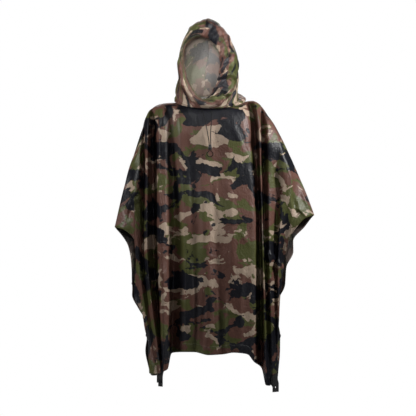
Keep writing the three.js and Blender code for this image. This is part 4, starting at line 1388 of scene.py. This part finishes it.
LAMPS = (
    Lamp("left", 0.8, 44.0, (-2.3, -0.8, 0.8), (0.0, 0.0, -0.2)),
    Lamp("right", 0.8, 12.0, (2.4, -0.8, 1.0), (0.3, 0.0, -0.05), 60.0),
    Lamp("chest", 0.4, 0.2, (-0.1, -1.9, 0.6), (0.0, -0.1, -0.36), 24.0),
    Lamp("hood", 0.25, 0.42, (-0.05, -1.6, 0.24), (-0.02, 0.0, 0.17), 18.0),
    Lamp("above", 0.7, 1.6, (0.1, -1.0, 1.7), (0.0, 0.0, 0.0), 90.0),
    Lamp("behind", 2.0, 34.0, (0.0, 3.4, 1.2)),
)


def make_studio() -> None:
    """Lights, a pale floor below the view, and a white surround that lights the cloth less than it shows."""
    for lamp in LAMPS:
        light = bpy.data.lights.new(lamp.name, "AREA")
        light.shape = "DISK"
        light.size = lamp.size
        light.energy = lamp.power
        light.spread = math.radians(lamp.spread)
        holder = bpy.data.objects.new(lamp.name, light)
        holder.location = lamp.place
        holder.rotation_euler = (Vector(lamp.aim) - Vector(lamp.place)).to_track_quat("-Z", "Y").to_euler()
        holder.visible_camera = False
        bpy.context.scene.collection.objects.link(holder)
    disc = bpy.data.meshes.new("floor")
    shape = bmesh.new()
    bmesh.ops.create_circle(shape, cap_ends=True, segments=96, radius=FLOOR_RADIUS)
    bmesh.ops.translate(shape, verts=shape.verts, vec=(0, 0, FLOOR_Z))
    shape.to_mesh(disc)
    shape.free()
    pale = Finish("pale_floor")
    grain = pale.noise(pale.object_place(), FLOOR_GRAIN, 2.0)
    shade = pale.blend(grain, linear(*FLOOR_SPECKS), linear(*FLOOR_COLOUR))
    glow = {"Emission_Color": linear(*FLOOR_COLOUR), "Emission_Strength": FLOOR_GLOW}
    disc.materials.append(pale.finished(Base_Color=shade, Roughness=0.9, **glow))
    floor = bpy.data.objects.new("floor", disc)
    floor.visible_diffuse = False
    bpy.context.scene.collection.objects.link(floor)
    floor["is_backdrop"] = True
    world = bpy.data.worlds.new("surround")
    world.use_nodes = True
    nodes, links = world.node_tree.nodes, world.node_tree.links
    background = nodes["Background"]
    background.inputs["Color"].default_value = (1, 1, 1, 1)
    strength = nodes.new("ShaderNodeMapRange")
    strength.inputs["To Min"].default_value = SURROUND_LIGHT
    strength.inputs["To Max"].default_value = SURROUND_SHOWN
    links.new(nodes.new("ShaderNodeLightPath").outputs["Is Camera Ray"], strength.inputs["Value"])
    links.new(strength.outputs["Result"], background.inputs["Strength"])
    bpy.context.scene.world = world
    bpy.context.scene.view_settings.view_transform = "Standard"


def make_poncho(nodes: dict[str, bpy.types.Object]) -> None:
    """Every piece of the garment.

    Args:
        nodes: The solids by name.
    """
    outside = ClothFinish("camouflage_outside", 0.0, 0.0035).make()
    inside = ClothFinish("camouflage_inside", 0.3, 0.0035).make()
    gathered = ClothFinish("camouflage_gathered", 0.0, 0.009).make()
    webbing = PlainFinish("black_webbing", (26, 26, 28), 0.8, 900.0, 0.0004).make()
    metal = PlainFinish("blackened_metal", (40, 41, 44), 0.38, 300.0, 0.00005, 1.0).make()
    plastic = PlainFinish("black_plastic", (14, 14, 16), 0.42, 500.0, 0.00005).make()
    cord_look = PlainFinish("black_cord", (10, 10, 12), 0.9, 1400.0, 0.0005).make()

    drawcord = Drawcord()
    cord = drawcord.make(cord_look)
    cloth = [outside, inside]
    hood_cloth = [gathered, inside]
    front = Panel("front_cloth", Side.FRONT, FRONT_FOLDS, FRONT_COLUMNS, FRONT_CREASES).make(cloth)
    back = Panel("back_cloth", Side.BACK, BACK_FOLDS, BACK_COLUMNS, BACK_CREASES).make(cloth)
    hood = Hood()
    brim_down = np.linspace(0, BRIM_RING, BRIM_ROWS)
    half_down = np.linspace(BRIM_RING, len(HOOD_RINGS) + len(NECK_TURNS) - 1, HOOD_ROWS)
    brim = hood.make("brim_cloth", np.linspace(0, 1, BRIM_COLUMNS + 1), brim_down, True, hood_cloth)
    half = np.linspace(0, 0.5, HOOD_COLUMNS)
    right = hood.make("hood_right_cloth", half, half_down, False, hood_cloth)
    left = hood.make("hood_left_cloth", 0.5 + half, half_down, False, hood_cloth)
    pieces = {"front_panel": front, "back_panel": back, "hood_brim": brim}
    pieces |= {"hood_right": right, "hood_left": left}
    for node, piece in pieces.items():
        stand_in(piece, node)
    make_fittings(nodes, metal, plastic)
    for name, node in nodes.items():
        if name.startswith("tab_"):
            node.data.materials.clear()
            node.data.materials.append(webbing)
            LOG.info("%s keeps its solid, in webbing", name)


def corners() -> list[list[float]]:
    """The lowest and highest corner of what shows, as plain lists."""
    return [list(corner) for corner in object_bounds()]


def main() -> None:
    """Builds the scene."""
    logging.basicConfig(level=logging.INFO)
    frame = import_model()
    make_camera()
    make_poncho(frame["nodes"])
    make_studio()


if __name__ == "__main__":
    main()
